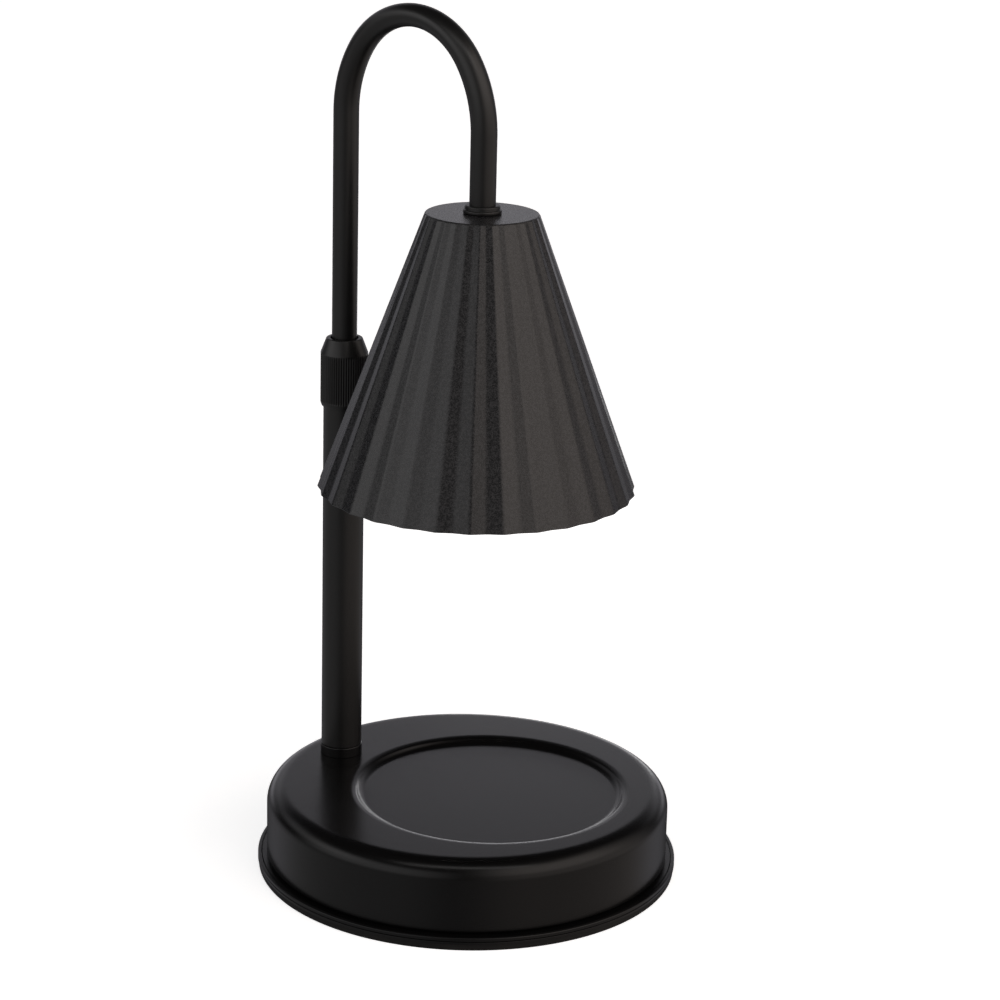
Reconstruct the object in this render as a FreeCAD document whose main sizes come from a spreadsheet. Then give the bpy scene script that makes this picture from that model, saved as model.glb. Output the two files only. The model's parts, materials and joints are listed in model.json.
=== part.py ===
"""Candle warmer lamp: a weighted round base with a jar seat, a telescopic gooseneck and a pleated shade.

The document holds one sheet of driving sizes and one object per piece. Lengths are millimetres.
Row frame: origin at the centre of the base on the table, +Z up, +X from the pole towards the jar seat.
Pieces of the arm are drawn about the pole or about the shade's axis and turned by the arm's swing.
"""
import FreeCAD, Part
import Sketcher
import math
import os

Vector = FreeCAD.Vector

# ---------------------------------------------------------------- driving sizes
SIZES = [
    # base: pad, tray, shell, counterweight
    ("pad_inset", 0.3, "anti-slip pad, how far its edge lies inside the tray's"),
    ("pad_thickness", 2.3, "anti-slip pad, thickness"),
    ("pad_hole_play", 0.7, "screw access holes in the pad, play round a screw head"),
    ("tray_ledge", 3.1, "bottom tray, how far its edge stands out of the shell"),
    ("tray_thickness", 2.0, "bottom tray, plate thickness"),
    ("tray_edge_round", 0.7, "rounding of the tray's upper edge"),
    ("register_wall", 1.2, "tray's register ring, thickness"),
    ("register_height", 2.0, "tray's register ring, height over the plate"),
    ("register_gap", 0.3, "play between register ring and shell"),
    ("shell_radius", 69.4, "shell, outer radius"),
    ("shell_top", 29.2, "shell, height of its top above the table"),
    ("shell_wall", 1.2, "shell, sheet thickness"),
    ("shoulder_radius", 6.4, "shell, outer radius of the rounded shoulder"),
    ("seat_ring_gap", 6.09, "jar seat, gap between its step and the ring at the pole's foot"),
    ("seat_post_gap", 1.12, "jar seat, gap between its step and the screw post opposite the pole"),
    ("seat_slope", 4.2, "jar seat, width of the sloped step"),
    ("seat_depth", 2.3, "jar seat, depth"),
    ("weight_gap", 2.2, "play between counterweight and shell"),
    ("weight_height", 14.0, "counterweight, height"),
    ("notch_width", 30.0, "counterweight, width of the notch under the pole"),
    ("notch_reach", 19.0, "counterweight, notch past the pole's axis"),
    # fasteners that close the base
    ("post_gap", 0.1, "screw posts, gap to the start of the rounded shoulder"),
    ("post_wall", 0.9, "screw posts, wall round the screw"),
    ("post_roof", 3.25, "screw posts, solid height over the tapped hole"),
    ("post_count", 3, "screw posts"),
    ("tray_screw_radius", 2.0, "tray screws, shank radius"),
    ("tray_screw_head", 3.9, "tray screws, head radius"),
    ("screw_end_gap", 1.0, "gap between a tray screw's end and the end of its hole"),
    ("screw_play", 0.3, "play of a screw in a through hole"),
    ("cut_over", 1.0, "how far a cut runs past the surface that it opens"),
    ("thread_play", 0.03, "play drawn between mating threads"),
    # cord inlet
    ("inlet_height", 14.0, "cord inlet, height of its axis"),
    ("inlet_bore", 2.6, "cord inlet, radius of the bore for the lead"),
    ("inlet_barrel", 3.9, "cord inlet, radius of the threaded barrel"),
    ("inlet_flange", 5.4, "cord inlet, radius of the outer flange"),
    ("inlet_proud", 2.6, "cord inlet, how far the flange stands out of the wall"),
    ("inlet_pole_gap", 0.3, "cord inlet, gap between its inner end and the pole's nut"),
    ("inlet_nut_radius", 6.2, "cord inlet, radius of the inner nut"),
    ("inlet_nut_inset", 0.4, "cord inlet, distance of the flat nut from the curved wall"),
    ("inlet_nut_height", 3.5, "cord inlet, thickness of the inner nut"),
    # terminal block
    ("block_length", 16.0, "terminal block, length across the base"),
    ("block_width", 12.0, "terminal block, width"),
    ("block_height", 8.0, "terminal block, height"),
    ("block_pole_pitch", 8.0, "terminal block, distance between its two screws"),
    ("block_screw_radius", 1.9, "terminal screws, head radius"),
    ("block_screw_length", 5.0, "terminal screws, length"),
    ("block_screw_sink", 0.5, "terminal screws, depth of their tops in the wells"),
    ("block_wire_radius", 1.3, "terminal block, radius of the holes for the wires"),
    ("block_wire_height", 2.0, "terminal block, height of those holes over the tray"),
    # pole
    ("pole_margin", 3.43, "pole, gap between its foot ring and the start of the shoulder"),
    ("foot_ring_proud", 0.45, "ring at the pole's foot, how far it stands out of the tube"),
    ("foot_ring_height", 3.65, "ring at the pole's foot, height"),
    ("foot_ring_round", 0.5, "ring at the pole's foot, edge rounding"),
    ("socket_wall", 0.82, "threaded socket in the tube's foot, wall"),
    ("nipple_wall", 1.5, "threaded nipple, wall"),
    ("nipple_tail", 2.55, "threaded nipple, length under its nut"),
    ("nipple_play", 0.15, "play of the nipple in plain holes"),
    ("nut_wall", 2.0, "pole nut, least wall"),
    ("nut_height", 5.0, "pole nut, height"),
    ("lock_washer_wall", 4.0, "toothed washer, width past the nipple"),
    ("lock_washer_tooth", 1.6, "toothed washer, depth of its notches"),
    ("lock_washer_thickness", 0.8, "toothed washer, thickness"),
    ("lock_washer_teeth", 12, "toothed washer, notches"),
    ("tube_wall", 1.15, "lower tube, wall"),
    ("tube_length", 128.75, "lower tube, length"),
    ("socket_height", 10.0, "threaded socket in the tube's foot, height"),
    ("plug_play", 0.05, "play of a plug pressed into the tube"),
    # twist lock
    ("sleeve_shank", 12.6, "thread sleeve, length inside the tube"),
    ("sleeve_flange_inset", 0.1, "thread sleeve, step from the tube in to the flange"),
    ("sleeve_flange", 1.2, "thread sleeve, flange thickness"),
    ("sleeve_thread_step", 0.85, "thread sleeve, step from the tube in to the thread"),
    ("sleeve_thread", 9.8, "thread sleeve, thread length"),
    ("sleeve_play", 0.3, "thread sleeve, play round the gooseneck"),
    ("collet_inset", 0.2, "collet, step from the thread in to the collet"),
    ("collet_straight", 2.2, "collet, height below its cone"),
    ("collet_cone", 4.2, "collet, height of its cone"),
    ("collet_tip_wall", 0.67, "collet, wall at its tip"),
    ("collet_slit", 1.2, "collet, width of its slit"),
    ("collar_overlap", 4.9, "lock collar, length over the lower tube"),
    ("collet_tip_gap", 0.2, "gap between the collet's tip and the collar's lip"),
    ("collar_wall", 0.95, "lock collar, wall round the tube"),
    ("collar_foot_wall", 0.5, "lock collar, wall at its lower end"),
    ("collar_foot", 1.3, "lock collar, height of the lower chamfer"),
    ("collar_shoulder", 5.1, "lock collar, height of the upper cone"),
    ("collar_lip_wall", 1.4, "lock collar, width of the upper lip"),
    ("collar_lip_round", 0.4, "lock collar, rounding of the upper lip"),
    ("collar_lip_play", 0.45, "lock collar, play of the upper lip round the gooseneck"),
    ("collar_roof", 1.2, "lock collar, thickness of the upper lip"),
    ("turning_play", 0.1, "play of a turning fit, on the radius"),
    ("collet_gap", 0.3, "gap between the collet and the collar's cone"),
    # gooseneck
    ("arm_tube_radius", 4.3, "gooseneck, outer radius"),
    ("arm_tube_wall", 0.8, "gooseneck, wall"),
    ("travel_up", 23.0, "gooseneck, how far it can still rise"),
    ("stop_gap", 0.4, "gap left between the upper retaining ring and the thread sleeve when raised"),
    ("shade_pole_gap", 0.83, "gap between the shade's rim and the lock collar"),
    ("arm_swing", -11.98, "gooseneck, swing about the pole, degrees"),
    ("neck_run", 24.89, "gooseneck, straight run between the shade and the bend"),
    ("crown_less", 1.92, "gooseneck, how far the crown's radius is under half the reach"),
    ("flank_more", 8.72, "gooseneck, how far the flanks' radius is over half the reach"),
    ("arm_stub", 1.4, "gooseneck, length of thread under the nut inside the shade"),
    ("slide_play", 0.08, "play of a sliding fit, on the radius"),
    ("bush_height", 12.0, "guide bush, height"),
    ("bush_wall", 1.44, "guide bush, wall"),
    ("bush_ring_height", 1.3, "retaining rings, height"),
    ("bush_ring_gap", 0.4, "retaining rings, gap to the lower tube"),
    ("bush_end_gap", 0.3, "gap between the bush and each ring"),
    ("ring_inset", 0.4, "lower retaining ring, height over the tube's end"),
    ("lead_radius", 1.8, "inner lead, radius"),
    ("lead_tail", 5.0, "inner lead, length that hangs out of the gooseneck's lower end"),
    # shade
    ("shade_drop", 20.61, "shade, depth of its rim under the top of the lower tube"),
    ("shade_height", 91.79, "shade, height"),
    ("shade_rim_radius", 52.2, "shade, mean radius at the rim"),
    ("shade_top_radius", 18.4, "shade, mean radius at the top"),
    ("shade_wall", 0.8, "shade, sheet thickness"),
    ("shade_cap", 1.0, "shade, thickness of the top plate"),
    ("shade_cap_edge", 1.4, "shade, height of the smooth edge over the pleats"),
    ("pleat_count", 30, "shade, pleats"),
    ("pleat_depth", 0.86, "shade, depth of a pleat at the rim"),
    ("pleat_phase", 9.77, "shade, bearing of one pleat's crest from the arm, degrees"),
    ("shade_ring_wall", 2.0, "ring on the shade, width past the gooseneck"),
    ("shade_ring_height", 2.7, "ring on the shade, height"),
    ("shade_ring_lower", 1.4, "ring on the shade, height of its lower tier"),
    ("shade_ring_step", 0.55, "ring on the shade, step between its two tiers"),
    ("shade_ring_round", 0.44, "ring on the shade, rounding of its edges"),
    ("shade_washer_wall", 5.7, "washer under the top plate, width past the gooseneck"),
    ("shade_washer_thickness", 1.0, "washer under the top plate, thickness"),
    ("shade_nut_wall", 2.2, "nut under the shade, least wall"),
    ("shade_nut_height", 4.0, "nut under the shade, height"),
    # lampholder
    ("bracket_height", 9.4, "lampholder bracket, height"),
    ("bracket_rim", 2.7, "lampholder bracket, width of its strip past the gooseneck"),
    ("bracket_sheet", 1.0, "lampholder bracket, sheet thickness"),
    ("bracket_foot", 6.5, "lampholder bracket, length of each foot"),
    ("holder_radius", 13.0, "lampholder, radius"),
    ("holder_height", 16.0, "lampholder, height"),
    ("screw_head_gap", 0.2, "lampholder screws, gap between head and bracket"),
    ("holder_screw_radius", 1.5, "lampholder screws, shank radius"),
    ("holder_screw_head", 2.6, "lampholder screws, head radius"),
    ("holder_screw_cap", 1.8, "lampholder screws, head height"),
    ("holder_screw_length", 7.0, "lampholder screws, length under the head"),
    ("keyhole_play", 0.35, "play of the bulb's pins in the lampholder"),
    ("keyhole_floor", 2.7, "lampholder, thickness of the floor that holds the pins"),
    ("contact_thickness", 0.8, "contact springs, thickness"),
    ("contact_width", 3.0, "contact springs, width"),
    ("bulb_twist", 20.0, "bulb, turn between locked and free, degrees"),
    # bulb
    ("bulb_gap", 0.3, "gap between bulb and lampholder"),
    ("pin_circle", 5.0, "bulb pins, distance from the axis"),
    ("pin_radius", 1.5, "bulb pins, shank radius"),
    ("pin_head_radius", 2.5, "bulb pins, head radius"),
    ("pin_head_height", 2.2, "bulb pins, head height"),
    ("pin_inset", 1.0, "bulb pins, gap between their roots and the reflector's neck"),
    ("bulb_base_radius", 9.0, "bulb base, radius"),
    ("bulb_base_length", 15.0, "bulb base, length"),
    ("bulb_neck_overlap", 3.0, "bulb base, depth of the cup that holds the reflector"),
    ("reflector_radius", 25.0, "reflector, radius at the front"),
    ("bulb_cup_wall", 1.37, "bulb base, wall of its cup"),
    ("reflector_length", 34.0, "reflector, length from its neck to the front"),
    ("neck_straight", 1.0, "reflector, length of straight neck under the bulb base"),
    ("reflector_bow", 42.0, "reflector, radius of its curved side"),
    ("reflector_wall", 1.1, "reflector, wall"),
    ("lens_thickness", 1.6, "front glass, thickness"),
    ("lens_inset", 0.9, "front glass, set in from the reflector's outer edge"),
    ("capsule_radius", 4.2, "halogen capsule, radius"),
    ("capsule_length", 14.0, "halogen capsule, length"),
]

doc = FreeCAD.newDocument("CandleWarmerLamp")
sheet = doc.addObject("Spreadsheet::Sheet", "Sizes")
for row, (alias, number, meaning) in enumerate(SIZES, start=1):
    sheet.set(f"A{row}", str(number))
    sheet.setAlias(f"A{row}", alias)
    sheet.set(f"B{row}", meaning)
doc.recompute()


def value(formula):
    """The number a formula of the sheet gives."""
    result = sheet.evalExpression(formula)
    return float(getattr(result, "Value", result))


def size(name):
    """One driving size."""
    return value(f"Sizes.{name}")


# ---------------------------------------------------------------- levels and radii worked out from the sizes
# base, from the table up
TRAY_LOW = "Sizes.pad_thickness"
TRAY_TOP = "(Sizes.pad_thickness + Sizes.tray_thickness)"
WEIGHT_TOP = f"({TRAY_TOP} + Sizes.weight_height)"
BLOCK_TOP = f"({TRAY_TOP} + Sizes.block_height)"
SHELL_CEILING = "(Sizes.shell_top - Sizes.shell_wall)"
SHELL_INNER = "(Sizes.shell_radius - Sizes.shell_wall)"
TRAY_RADIUS = "(Sizes.shell_radius + Sizes.tray_ledge)"
PAD_RADIUS = f"({TRAY_RADIUS} - Sizes.pad_inset)"
FLAT_RADIUS = "(Sizes.shell_radius - Sizes.shoulder_radius)"
SCREW_HOLE = "(Sizes.tray_screw_radius + Sizes.screw_play)"
POST_RADIUS = "(Sizes.tray_screw_radius + Sizes.post_wall)"
POST_CIRCLE = f"({FLAT_RADIUS} - Sizes.post_gap - {POST_RADIUS})"
POST_BORE_TOP = f"({SHELL_CEILING} - Sizes.post_roof)"

# gooseneck and lower tube, from the inside out
ARM_RADIUS = "Sizes.arm_tube_radius"
ARM_BORE = "(Sizes.arm_tube_radius - Sizes.arm_tube_wall)"
ARM_HOLE = "(Sizes.arm_tube_radius + Sizes.nipple_play)"
ARM_THREAD = "(Sizes.arm_tube_radius + Sizes.thread_play)"
ARM_SLIDE = "(Sizes.arm_tube_radius + Sizes.slide_play)"
TUBE_BORE = f"({ARM_SLIDE} + Sizes.bush_wall + Sizes.slide_play)"
TUBE_RADIUS = f"({TUBE_BORE} + Sizes.tube_wall)"
PLUG_RADIUS = f"({TUBE_BORE} - Sizes.plug_play)"
NIPPLE_RADIUS = f"({PLUG_RADIUS} - Sizes.socket_wall - Sizes.thread_play)"
NIPPLE_HOLE = f"({NIPPLE_RADIUS} + Sizes.nipple_play)"
NIPPLE_THREAD = f"({NIPPLE_RADIUS} + Sizes.thread_play)"
NUT_HALF_WIDTH = f"({NIPPLE_RADIUS} + Sizes.nut_wall)"
NUT_CORNER = f"({NUT_HALF_WIDTH} / cos(30 * 1 deg))"
WASHER_RADIUS = f"({NIPPLE_RADIUS} + Sizes.lock_washer_wall)"
FOOT_RING_RADIUS = f"({TUBE_RADIUS} + Sizes.foot_ring_proud)"
SLEEVE_THREAD_RADIUS = f"({TUBE_RADIUS} - Sizes.sleeve_thread_step)"
COLLET_RADIUS = f"({SLEEVE_THREAD_RADIUS} - Sizes.collet_inset)"
COLLET_TIP_RADIUS = f"({ARM_SLIDE} + Sizes.collet_tip_wall)"
COLLAR_SKIRT = f"({TUBE_RADIUS} + Sizes.turning_play)"
COLLAR_RADIUS = f"({COLLAR_SKIRT} + Sizes.collar_wall)"
COLLAR_LIP_BORE = "(Sizes.arm_tube_radius + Sizes.collar_lip_play)"
COLLAR_LIP_RADIUS = f"({COLLAR_LIP_BORE} + Sizes.collar_lip_wall)"

# places across the base
POLE_OFFSET = f"({FLAT_RADIUS} - Sizes.pole_margin - {FOOT_RING_RADIUS})"
SEAT_FAR = f"({POST_CIRCLE} - {POST_RADIUS} - Sizes.seat_post_gap)"
SEAT_NEAR = f"({POLE_OFFSET} - {FOOT_RING_RADIUS} - Sizes.seat_ring_gap)"
SEAT_RADIUS = f"(({SEAT_FAR} + {SEAT_NEAR}) / 2)"
SEAT_OFFSET = f"(({SEAT_FAR} - {SEAT_NEAR}) / 2)"
SEAT_FLOOR = f"({SEAT_RADIUS} - Sizes.seat_slope)"
INLET_TIP = "(Sizes.shell_radius + Sizes.inlet_proud)"
INLET_LENGTH = f"({INLET_TIP} - {POLE_OFFSET} - {NUT_CORNER} - Sizes.inlet_pole_gap)"
ARM_REACH = f"(Sizes.shade_rim_radius + Sizes.pleat_depth / 2 + Sizes.shade_pole_gap + {COLLAR_RADIUS})"

# pole, from the base up
WASHER_LOW = f"({SHELL_CEILING} - Sizes.lock_washer_thickness)"
NUT_LOW = f"({WASHER_LOW} - Sizes.nut_height)"
TUBE_FOOT = "(Sizes.shell_top + Sizes.foot_ring_height)"
TUBE_TOP = f"({TUBE_FOOT} + Sizes.tube_length)"
SOCKET_TOP = f"({TUBE_FOOT} + Sizes.socket_height)"
SLEEVE_LOW = f"({TUBE_TOP} - Sizes.sleeve_shank)"
FLANGE_TOP = f"({TUBE_TOP} + Sizes.sleeve_flange)"
SLEEVE_TOP = f"({FLANGE_TOP} + Sizes.sleeve_thread)"
COLLET_CONE = f"({SLEEVE_TOP} + Sizes.collet_straight)"
COLLET_TIP = f"({COLLET_CONE} + Sizes.collet_cone)"
COLLAR_LOW = f"({TUBE_TOP} - Sizes.collar_overlap)"
COLLAR_LIP = f"({COLLET_TIP} + Sizes.collet_tip_gap)"
COLLAR_HIGH = f"({COLLAR_LIP} + Sizes.collar_roof)"

# gooseneck's guide at rest, from the raised stop down
RING_HIGH_TOP = f"({SLEEVE_LOW} - Sizes.travel_up - Sizes.stop_gap)"
RING_HIGH = f"({RING_HIGH_TOP} - Sizes.bush_ring_height)"
BUSH_TOP = f"({RING_HIGH} - Sizes.bush_end_gap)"
BUSH_LOW = f"({BUSH_TOP} - Sizes.bush_height)"
RING_LOW_TOP = f"({BUSH_LOW} - Sizes.bush_end_gap)"
RING_LOW = f"({RING_LOW_TOP} - Sizes.bush_ring_height)"
ARM_LOW = f"({RING_LOW} - Sizes.ring_inset)"
LEAD_JOIN = f"({ARM_LOW} - Sizes.lead_tail)"

# shade and what hangs in it at rest, from the top down
SHADE_RIM = f"({TUBE_TOP} - Sizes.shade_drop)"
SHADE_TOP = f"({SHADE_RIM} + Sizes.shade_height)"
CAP_UNDERSIDE = f"({SHADE_TOP} - Sizes.shade_cap)"
BRACKET_TOP = f"({CAP_UNDERSIDE} - Sizes.shade_washer_thickness)"
BRACKET_LOW = f"({BRACKET_TOP} - Sizes.bracket_sheet)"
SHADE_NUT_LOW = f"({BRACKET_LOW} - Sizes.shade_nut_height)"
ARM_END = f"({SHADE_NUT_LOW} - Sizes.arm_stub)"
HOLDER_TOP = f"({BRACKET_TOP} - Sizes.bracket_height)"
FOOT_TOP = f"({HOLDER_TOP} + Sizes.bracket_sheet)"
HOLDER_LOW = f"({HOLDER_TOP} - Sizes.holder_height)"
CHAMBER_LOW = f"({HOLDER_LOW} + Sizes.keyhole_floor)"
BULB_TOP = f"({HOLDER_LOW} - Sizes.bulb_gap)"
PIN_HEAD_LOW = f"({CHAMBER_LOW} + Sizes.keyhole_play)"
PIN_TOP = f"({PIN_HEAD_LOW} + Sizes.pin_head_height)"
CHAMBER_TOP = f"({PIN_TOP} + 2 * Sizes.keyhole_play + Sizes.contact_thickness)"
BULB_BASE_LOW = f"({BULB_TOP} - Sizes.bulb_base_length)"
NECK_TOP = f"({BULB_BASE_LOW} + Sizes.bulb_neck_overlap)"
NECK_LOW = f"({BULB_BASE_LOW} - Sizes.neck_straight)"
BULB_FRONT = f"({NECK_TOP} - Sizes.reflector_length)"
LENS_TOP = f"({BULB_FRONT} + Sizes.lens_thickness)"
LENS_RADIUS = "(Sizes.reflector_radius - Sizes.lens_inset)"
CUP_RADIUS = "(Sizes.bulb_base_radius - Sizes.bulb_cup_wall)"
NECK_RADIUS = f"({CUP_RADIUS} - Sizes.thread_play)"
HOLDER_SCREW_CIRCLE = (
    "(Sizes.holder_radius - Sizes.bracket_sheet - Sizes.screw_head_gap - Sizes.holder_screw_head)"
)

# ---------------------------------------------------------------- helpers
POLE_SPOT = {"Placement.Base.x": f"-{POLE_OFFSET}"}
ARM_SPOT = {
    "Placement.Base.x": f"-{POLE_OFFSET}",
    "Placement.Rotation.Angle": "Sizes.arm_swing",
}
SHADE_SPOT = {
    "Placement.Base.x": f"{ARM_REACH} * cos(Sizes.arm_swing * 1 deg) - {POLE_OFFSET}",
    "Placement.Base.y": f"{ARM_REACH} * sin(Sizes.arm_swing * 1 deg)",
    "Placement.Rotation.Angle": "Sizes.arm_swing",
}
BASE_SPOT = {}
SAME_PLACE = 1e-4
pieces = []


def bind(thing, formulas):
    """Ties properties of an object to formulas of the sheet."""
    for path, formula in formulas.items():
        thing.setExpression(path, formula)


def new_body(label, spot):
    """An empty body that becomes one sub-part."""
    body = doc.addObject("PartDesign::Body", label)
    body.Label = label
    bind(body, spot)
    pieces.append(body)
    return body


def origin_feature(body, role):
    """A plane or axis of the body's own origin."""
    return [part for part in body.Origin.OriginFeatures if part.Role == role][0]


def new_sketch(body, plane="XZ_Plane", along=None, height=None):
    """A sketch on one of the body's planes, moved along the plane or off it by formulas."""
    sketch = body.newObject("Sketcher::SketchObject", body.Label + "_sketch")
    sketch.AttachmentSupport = [(origin_feature(body, plane), "")]
    sketch.MapMode = "FlatFace"
    if along:
        sketch.setExpression("AttachmentOffset.Base.x", along)
    if height:
        sketch.setExpression("AttachmentOffset.Base.z", height)
    return sketch


def pin_point(sketch, edge, end, across, up):
    """Ties one end of a sketch's edge to two formulas, measured from the sketch's origin."""
    for kind, formula in (("DistanceX", across), ("DistanceY", up)):
        index = sketch.addConstraint(Sketcher.Constraint(kind, -1, 1, edge, end, value(formula)))
        name = f"{kind[-1]}{index}_{edge}"
        sketch.renameConstraint(index, name)
        sketch.setExpression(f"Constraints.{name}", formula)


def bowed_mid(start, end, radius, side):
    """The middle point of an arc that bows to the left (1) or the right (-1) of the way to its end."""
    chord = end - start
    half = chord.Length / 2
    sagitta = radius - math.sqrt(radius * radius - half * half)
    normal = Vector(-chord.y, chord.x, 0).normalize()
    return (start + end) * 0.5 + normal * (side * sagitta)


def draw_outline(sketch, outline):
    """A closed outline. A point is (across, up); a third and fourth entry, radius and side, bow the
    edge that leaves the point into an arc."""
    spots = [Vector(value(point[0]), value(point[1]), 0) for point in outline]
    count = len(outline)
    ends = []
    for index, point in enumerate(outline):
        start = spots[index]
        end = spots[(index + 1) % count]
        if len(point) == 2:
            edge = sketch.addGeometry(Part.LineSegment(start, end), False)
        else:
            mid = bowed_mid(start, end, value(point[2]), point[3])
            edge = sketch.addGeometry(Part.Arc(start, mid, end), False)
            index_radius = sketch.addConstraint(Sketcher.Constraint("Radius", edge, value(point[2])))
            sketch.renameConstraint(index_radius, f"bow_{edge}")
            sketch.setExpression(f"Constraints.bow_{edge}", point[2])
        runs_forward = (sketch.getPoint(edge, 1) - start).Length < (sketch.getPoint(edge, 2) - start).Length
        ends.append((1, 2) if runs_forward else (2, 1))
    for index in range(count):
        follower = (index + 1) % count
        sketch.addConstraint(
            Sketcher.Constraint("Coincident", index, ends[index][1], follower, ends[follower][0])
        )
    for index, point in enumerate(outline):
        pin_point(sketch, index, ends[index][0], point[0], point[1])
    doc.recompute()


def turn(body, outline, cut=False, along=None, height=None, angle="360"):
    """Turns an outline about the sketch's own vertical axis, to add or to cut."""
    sketch = new_sketch(body, along=along, height=height)
    draw_outline(sketch, outline)
    kind = "PartDesign::Groove" if cut else "PartDesign::Revolution"
    feature = body.newObject(kind, body.Label + "_turned")
    feature.Profile = (sketch, [""])
    feature.ReferenceAxis = (sketch, ["V_Axis"])
    feature.setExpression("Angle", angle)
    feature.Midplane = angle != "360"
    doc.recompute()
    return feature


def repeat(body, feature, count):
    """Repeats a feature evenly around the body's own vertical axis."""
    pattern = body.newObject("PartDesign::PolarPattern", body.Label + "_pattern")
    pattern.Originals = [feature]
    pattern.Axis = (origin_feature(body, "Z_Axis"), [""])
    pattern.Angle = 360
    pattern.setExpression("Occurrences", count)
    body.Tip = pattern
    doc.recompute()
    return pattern


def slab(body, outline, thickness, plane="XZ_Plane", cut=False, height=None):
    """A flat outline given a thickness, half on each side of its plane, to add or to cut."""
    sketch = new_sketch(body, plane, height=height)
    draw_outline(sketch, outline)
    kind = "PartDesign::Pocket" if cut else "PartDesign::Pad"
    feature = body.newObject(kind, body.Label + "_slab")
    feature.Profile = sketch
    feature.Midplane = True
    feature.setExpression("Length", thickness)
    doc.recompute()
    return feature


def drill(body, radius, spots, low, depth, plane="XY_Plane"):
    """Round holes along a plane's normal, from a level and by a depth. Spots are pairs of formulas."""
    sketch = new_sketch(body, plane, height=low)
    for across, back in spots:
        centre = Vector(value(across), value(back), 0)
        edge = sketch.addGeometry(Part.Circle(centre, Vector(0, 0, 1), value(radius)), False)
        pin_point(sketch, edge, 3, across, back)
        index = sketch.addConstraint(Sketcher.Constraint("Radius", edge, value(radius)))
        sketch.renameConstraint(index, f"bore_{edge}")
        sketch.setExpression(f"Constraints.bore_{edge}", radius)
    feature = body.newObject("PartDesign::Pocket", body.Label + "_drilled")
    feature.Profile = sketch
    feature.Reversed = True
    feature.setExpression("Length", depth)
    doc.recompute()
    return feature


def round_edges(body, feature, radius, spots):
    """Rounds the circular edges of a feature at the given radius and height, about the body's axis."""
    wanted = []
    for number, edge in enumerate(feature.Shape.Edges, start=1):
        box = edge.BoundBox
        found = (box.XMin, box.XMax, box.ZMin, box.ZMax)
        for spot_radius, level in spots:
            radius_there = value(spot_radius)
            level_there = value(level)
            asked = (-radius_there, radius_there, level_there, level_there)
            if max(abs(one - other) for one, other in zip(found, asked)) < SAME_PLACE:
                wanted.append(f"Edge{number}")
    if len(wanted) != len(spots):
        raise RuntimeError(f"{body.Label}: {len(wanted)} edges found to round, {len(spots)} wanted")
    fillet = body.newObject("PartDesign::Fillet", body.Label + "_rounded")
    fillet.Base = (feature, wanted)
    fillet.setExpression("Radius", radius)
    doc.recompute()
    return fillet


def ring(label, spot, inner, outer, low, high):
    """A plain ring or tube."""
    body = new_body(label, spot)
    turn(body, [(inner, low), (outer, low), (outer, high), (inner, high)])
    return body


def primitive(kind, name, formulas):
    """A Part primitive tied to the sheet."""
    thing = doc.addObject(kind, name)
    bind(thing, formulas)
    return thing


def subtract(label, spot, base, tool):
    """One object less another, as a sub-part."""
    cut = doc.addObject("Part::Cut", label)
    cut.Label = label
    cut.Base = base
    cut.Tool = tool
    bind(cut, spot)
    pieces.append(cut)
    return cut


def hex_nut(label, spot, half_width, bore, low, height):
    """A hexagon nut with a plain bore, half_width being from its axis to a flat."""
    blank = primitive(
        "Part::Prism",
        label + "_blank",
        {"Circumradius": f"{half_width} / cos(30 * 1 deg)", "Height": height, "Placement.Base.z": low},
    )
    hole = primitive(
        "Part::Cylinder", label + "_bore", {"Radius": bore, "Height": height, "Placement.Base.z": low}
    )
    return subtract(label, spot, blank, hole)


# ---------------------------------------------------------------- base
def anti_slip_pad():
    """Soft disc under the tray, with access holes for the tray screws."""
    body = new_body("anti_slip_pad", BASE_SPOT)
    turn(
        body,
        [("0", "0"), (PAD_RADIUS, "0"), (PAD_RADIUS, TRAY_LOW), ("0", TRAY_LOW)],
    )
    radius = "(Sizes.tray_screw_head + Sizes.pad_hole_play)"
    hole = turn(
        body,
        [("0", "0"), (radius, "0"), (radius, TRAY_LOW), ("0", TRAY_LOW)],
        cut=True,
        along=POST_CIRCLE,
    )
    repeat(body, hole, "Sizes.post_count")


def base_tray():
    """Bottom plate whose rounded edge shows round the shell, with a register ring and countersunk holes."""
    body = new_body("base_tray", BASE_SPOT)
    outer = f"({SHELL_INNER} - Sizes.register_gap)"
    inner = f"({SHELL_INNER} - Sizes.register_gap - Sizes.register_wall)"
    register_top = f"({TRAY_TOP} + Sizes.register_height)"
    plate = turn(
        body,
        [
            ("0", TRAY_LOW),
            (TRAY_RADIUS, TRAY_LOW),
            (TRAY_RADIUS, TRAY_TOP),
            (outer, TRAY_TOP),
            (outer, register_top),
            (inner, register_top),
            (inner, TRAY_TOP),
            ("0", TRAY_TOP),
        ],
    )
    round_edges(body, plate, "Sizes.tray_edge_round", [(TRAY_RADIUS, TRAY_TOP)])
    sink = "(Sizes.tray_screw_head + Sizes.screw_play)"
    countersink = turn(
        body,
        [
            ("0", TRAY_LOW),
            (sink, TRAY_LOW),
            (SCREW_HOLE, f"({TRAY_LOW} + {sink} - {SCREW_HOLE})"),
            (SCREW_HOLE, TRAY_TOP),
            ("0", TRAY_TOP),
        ],
        cut=True,
        along=POST_CIRCLE,
    )
    repeat(body, countersink, "Sizes.post_count")


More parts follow.
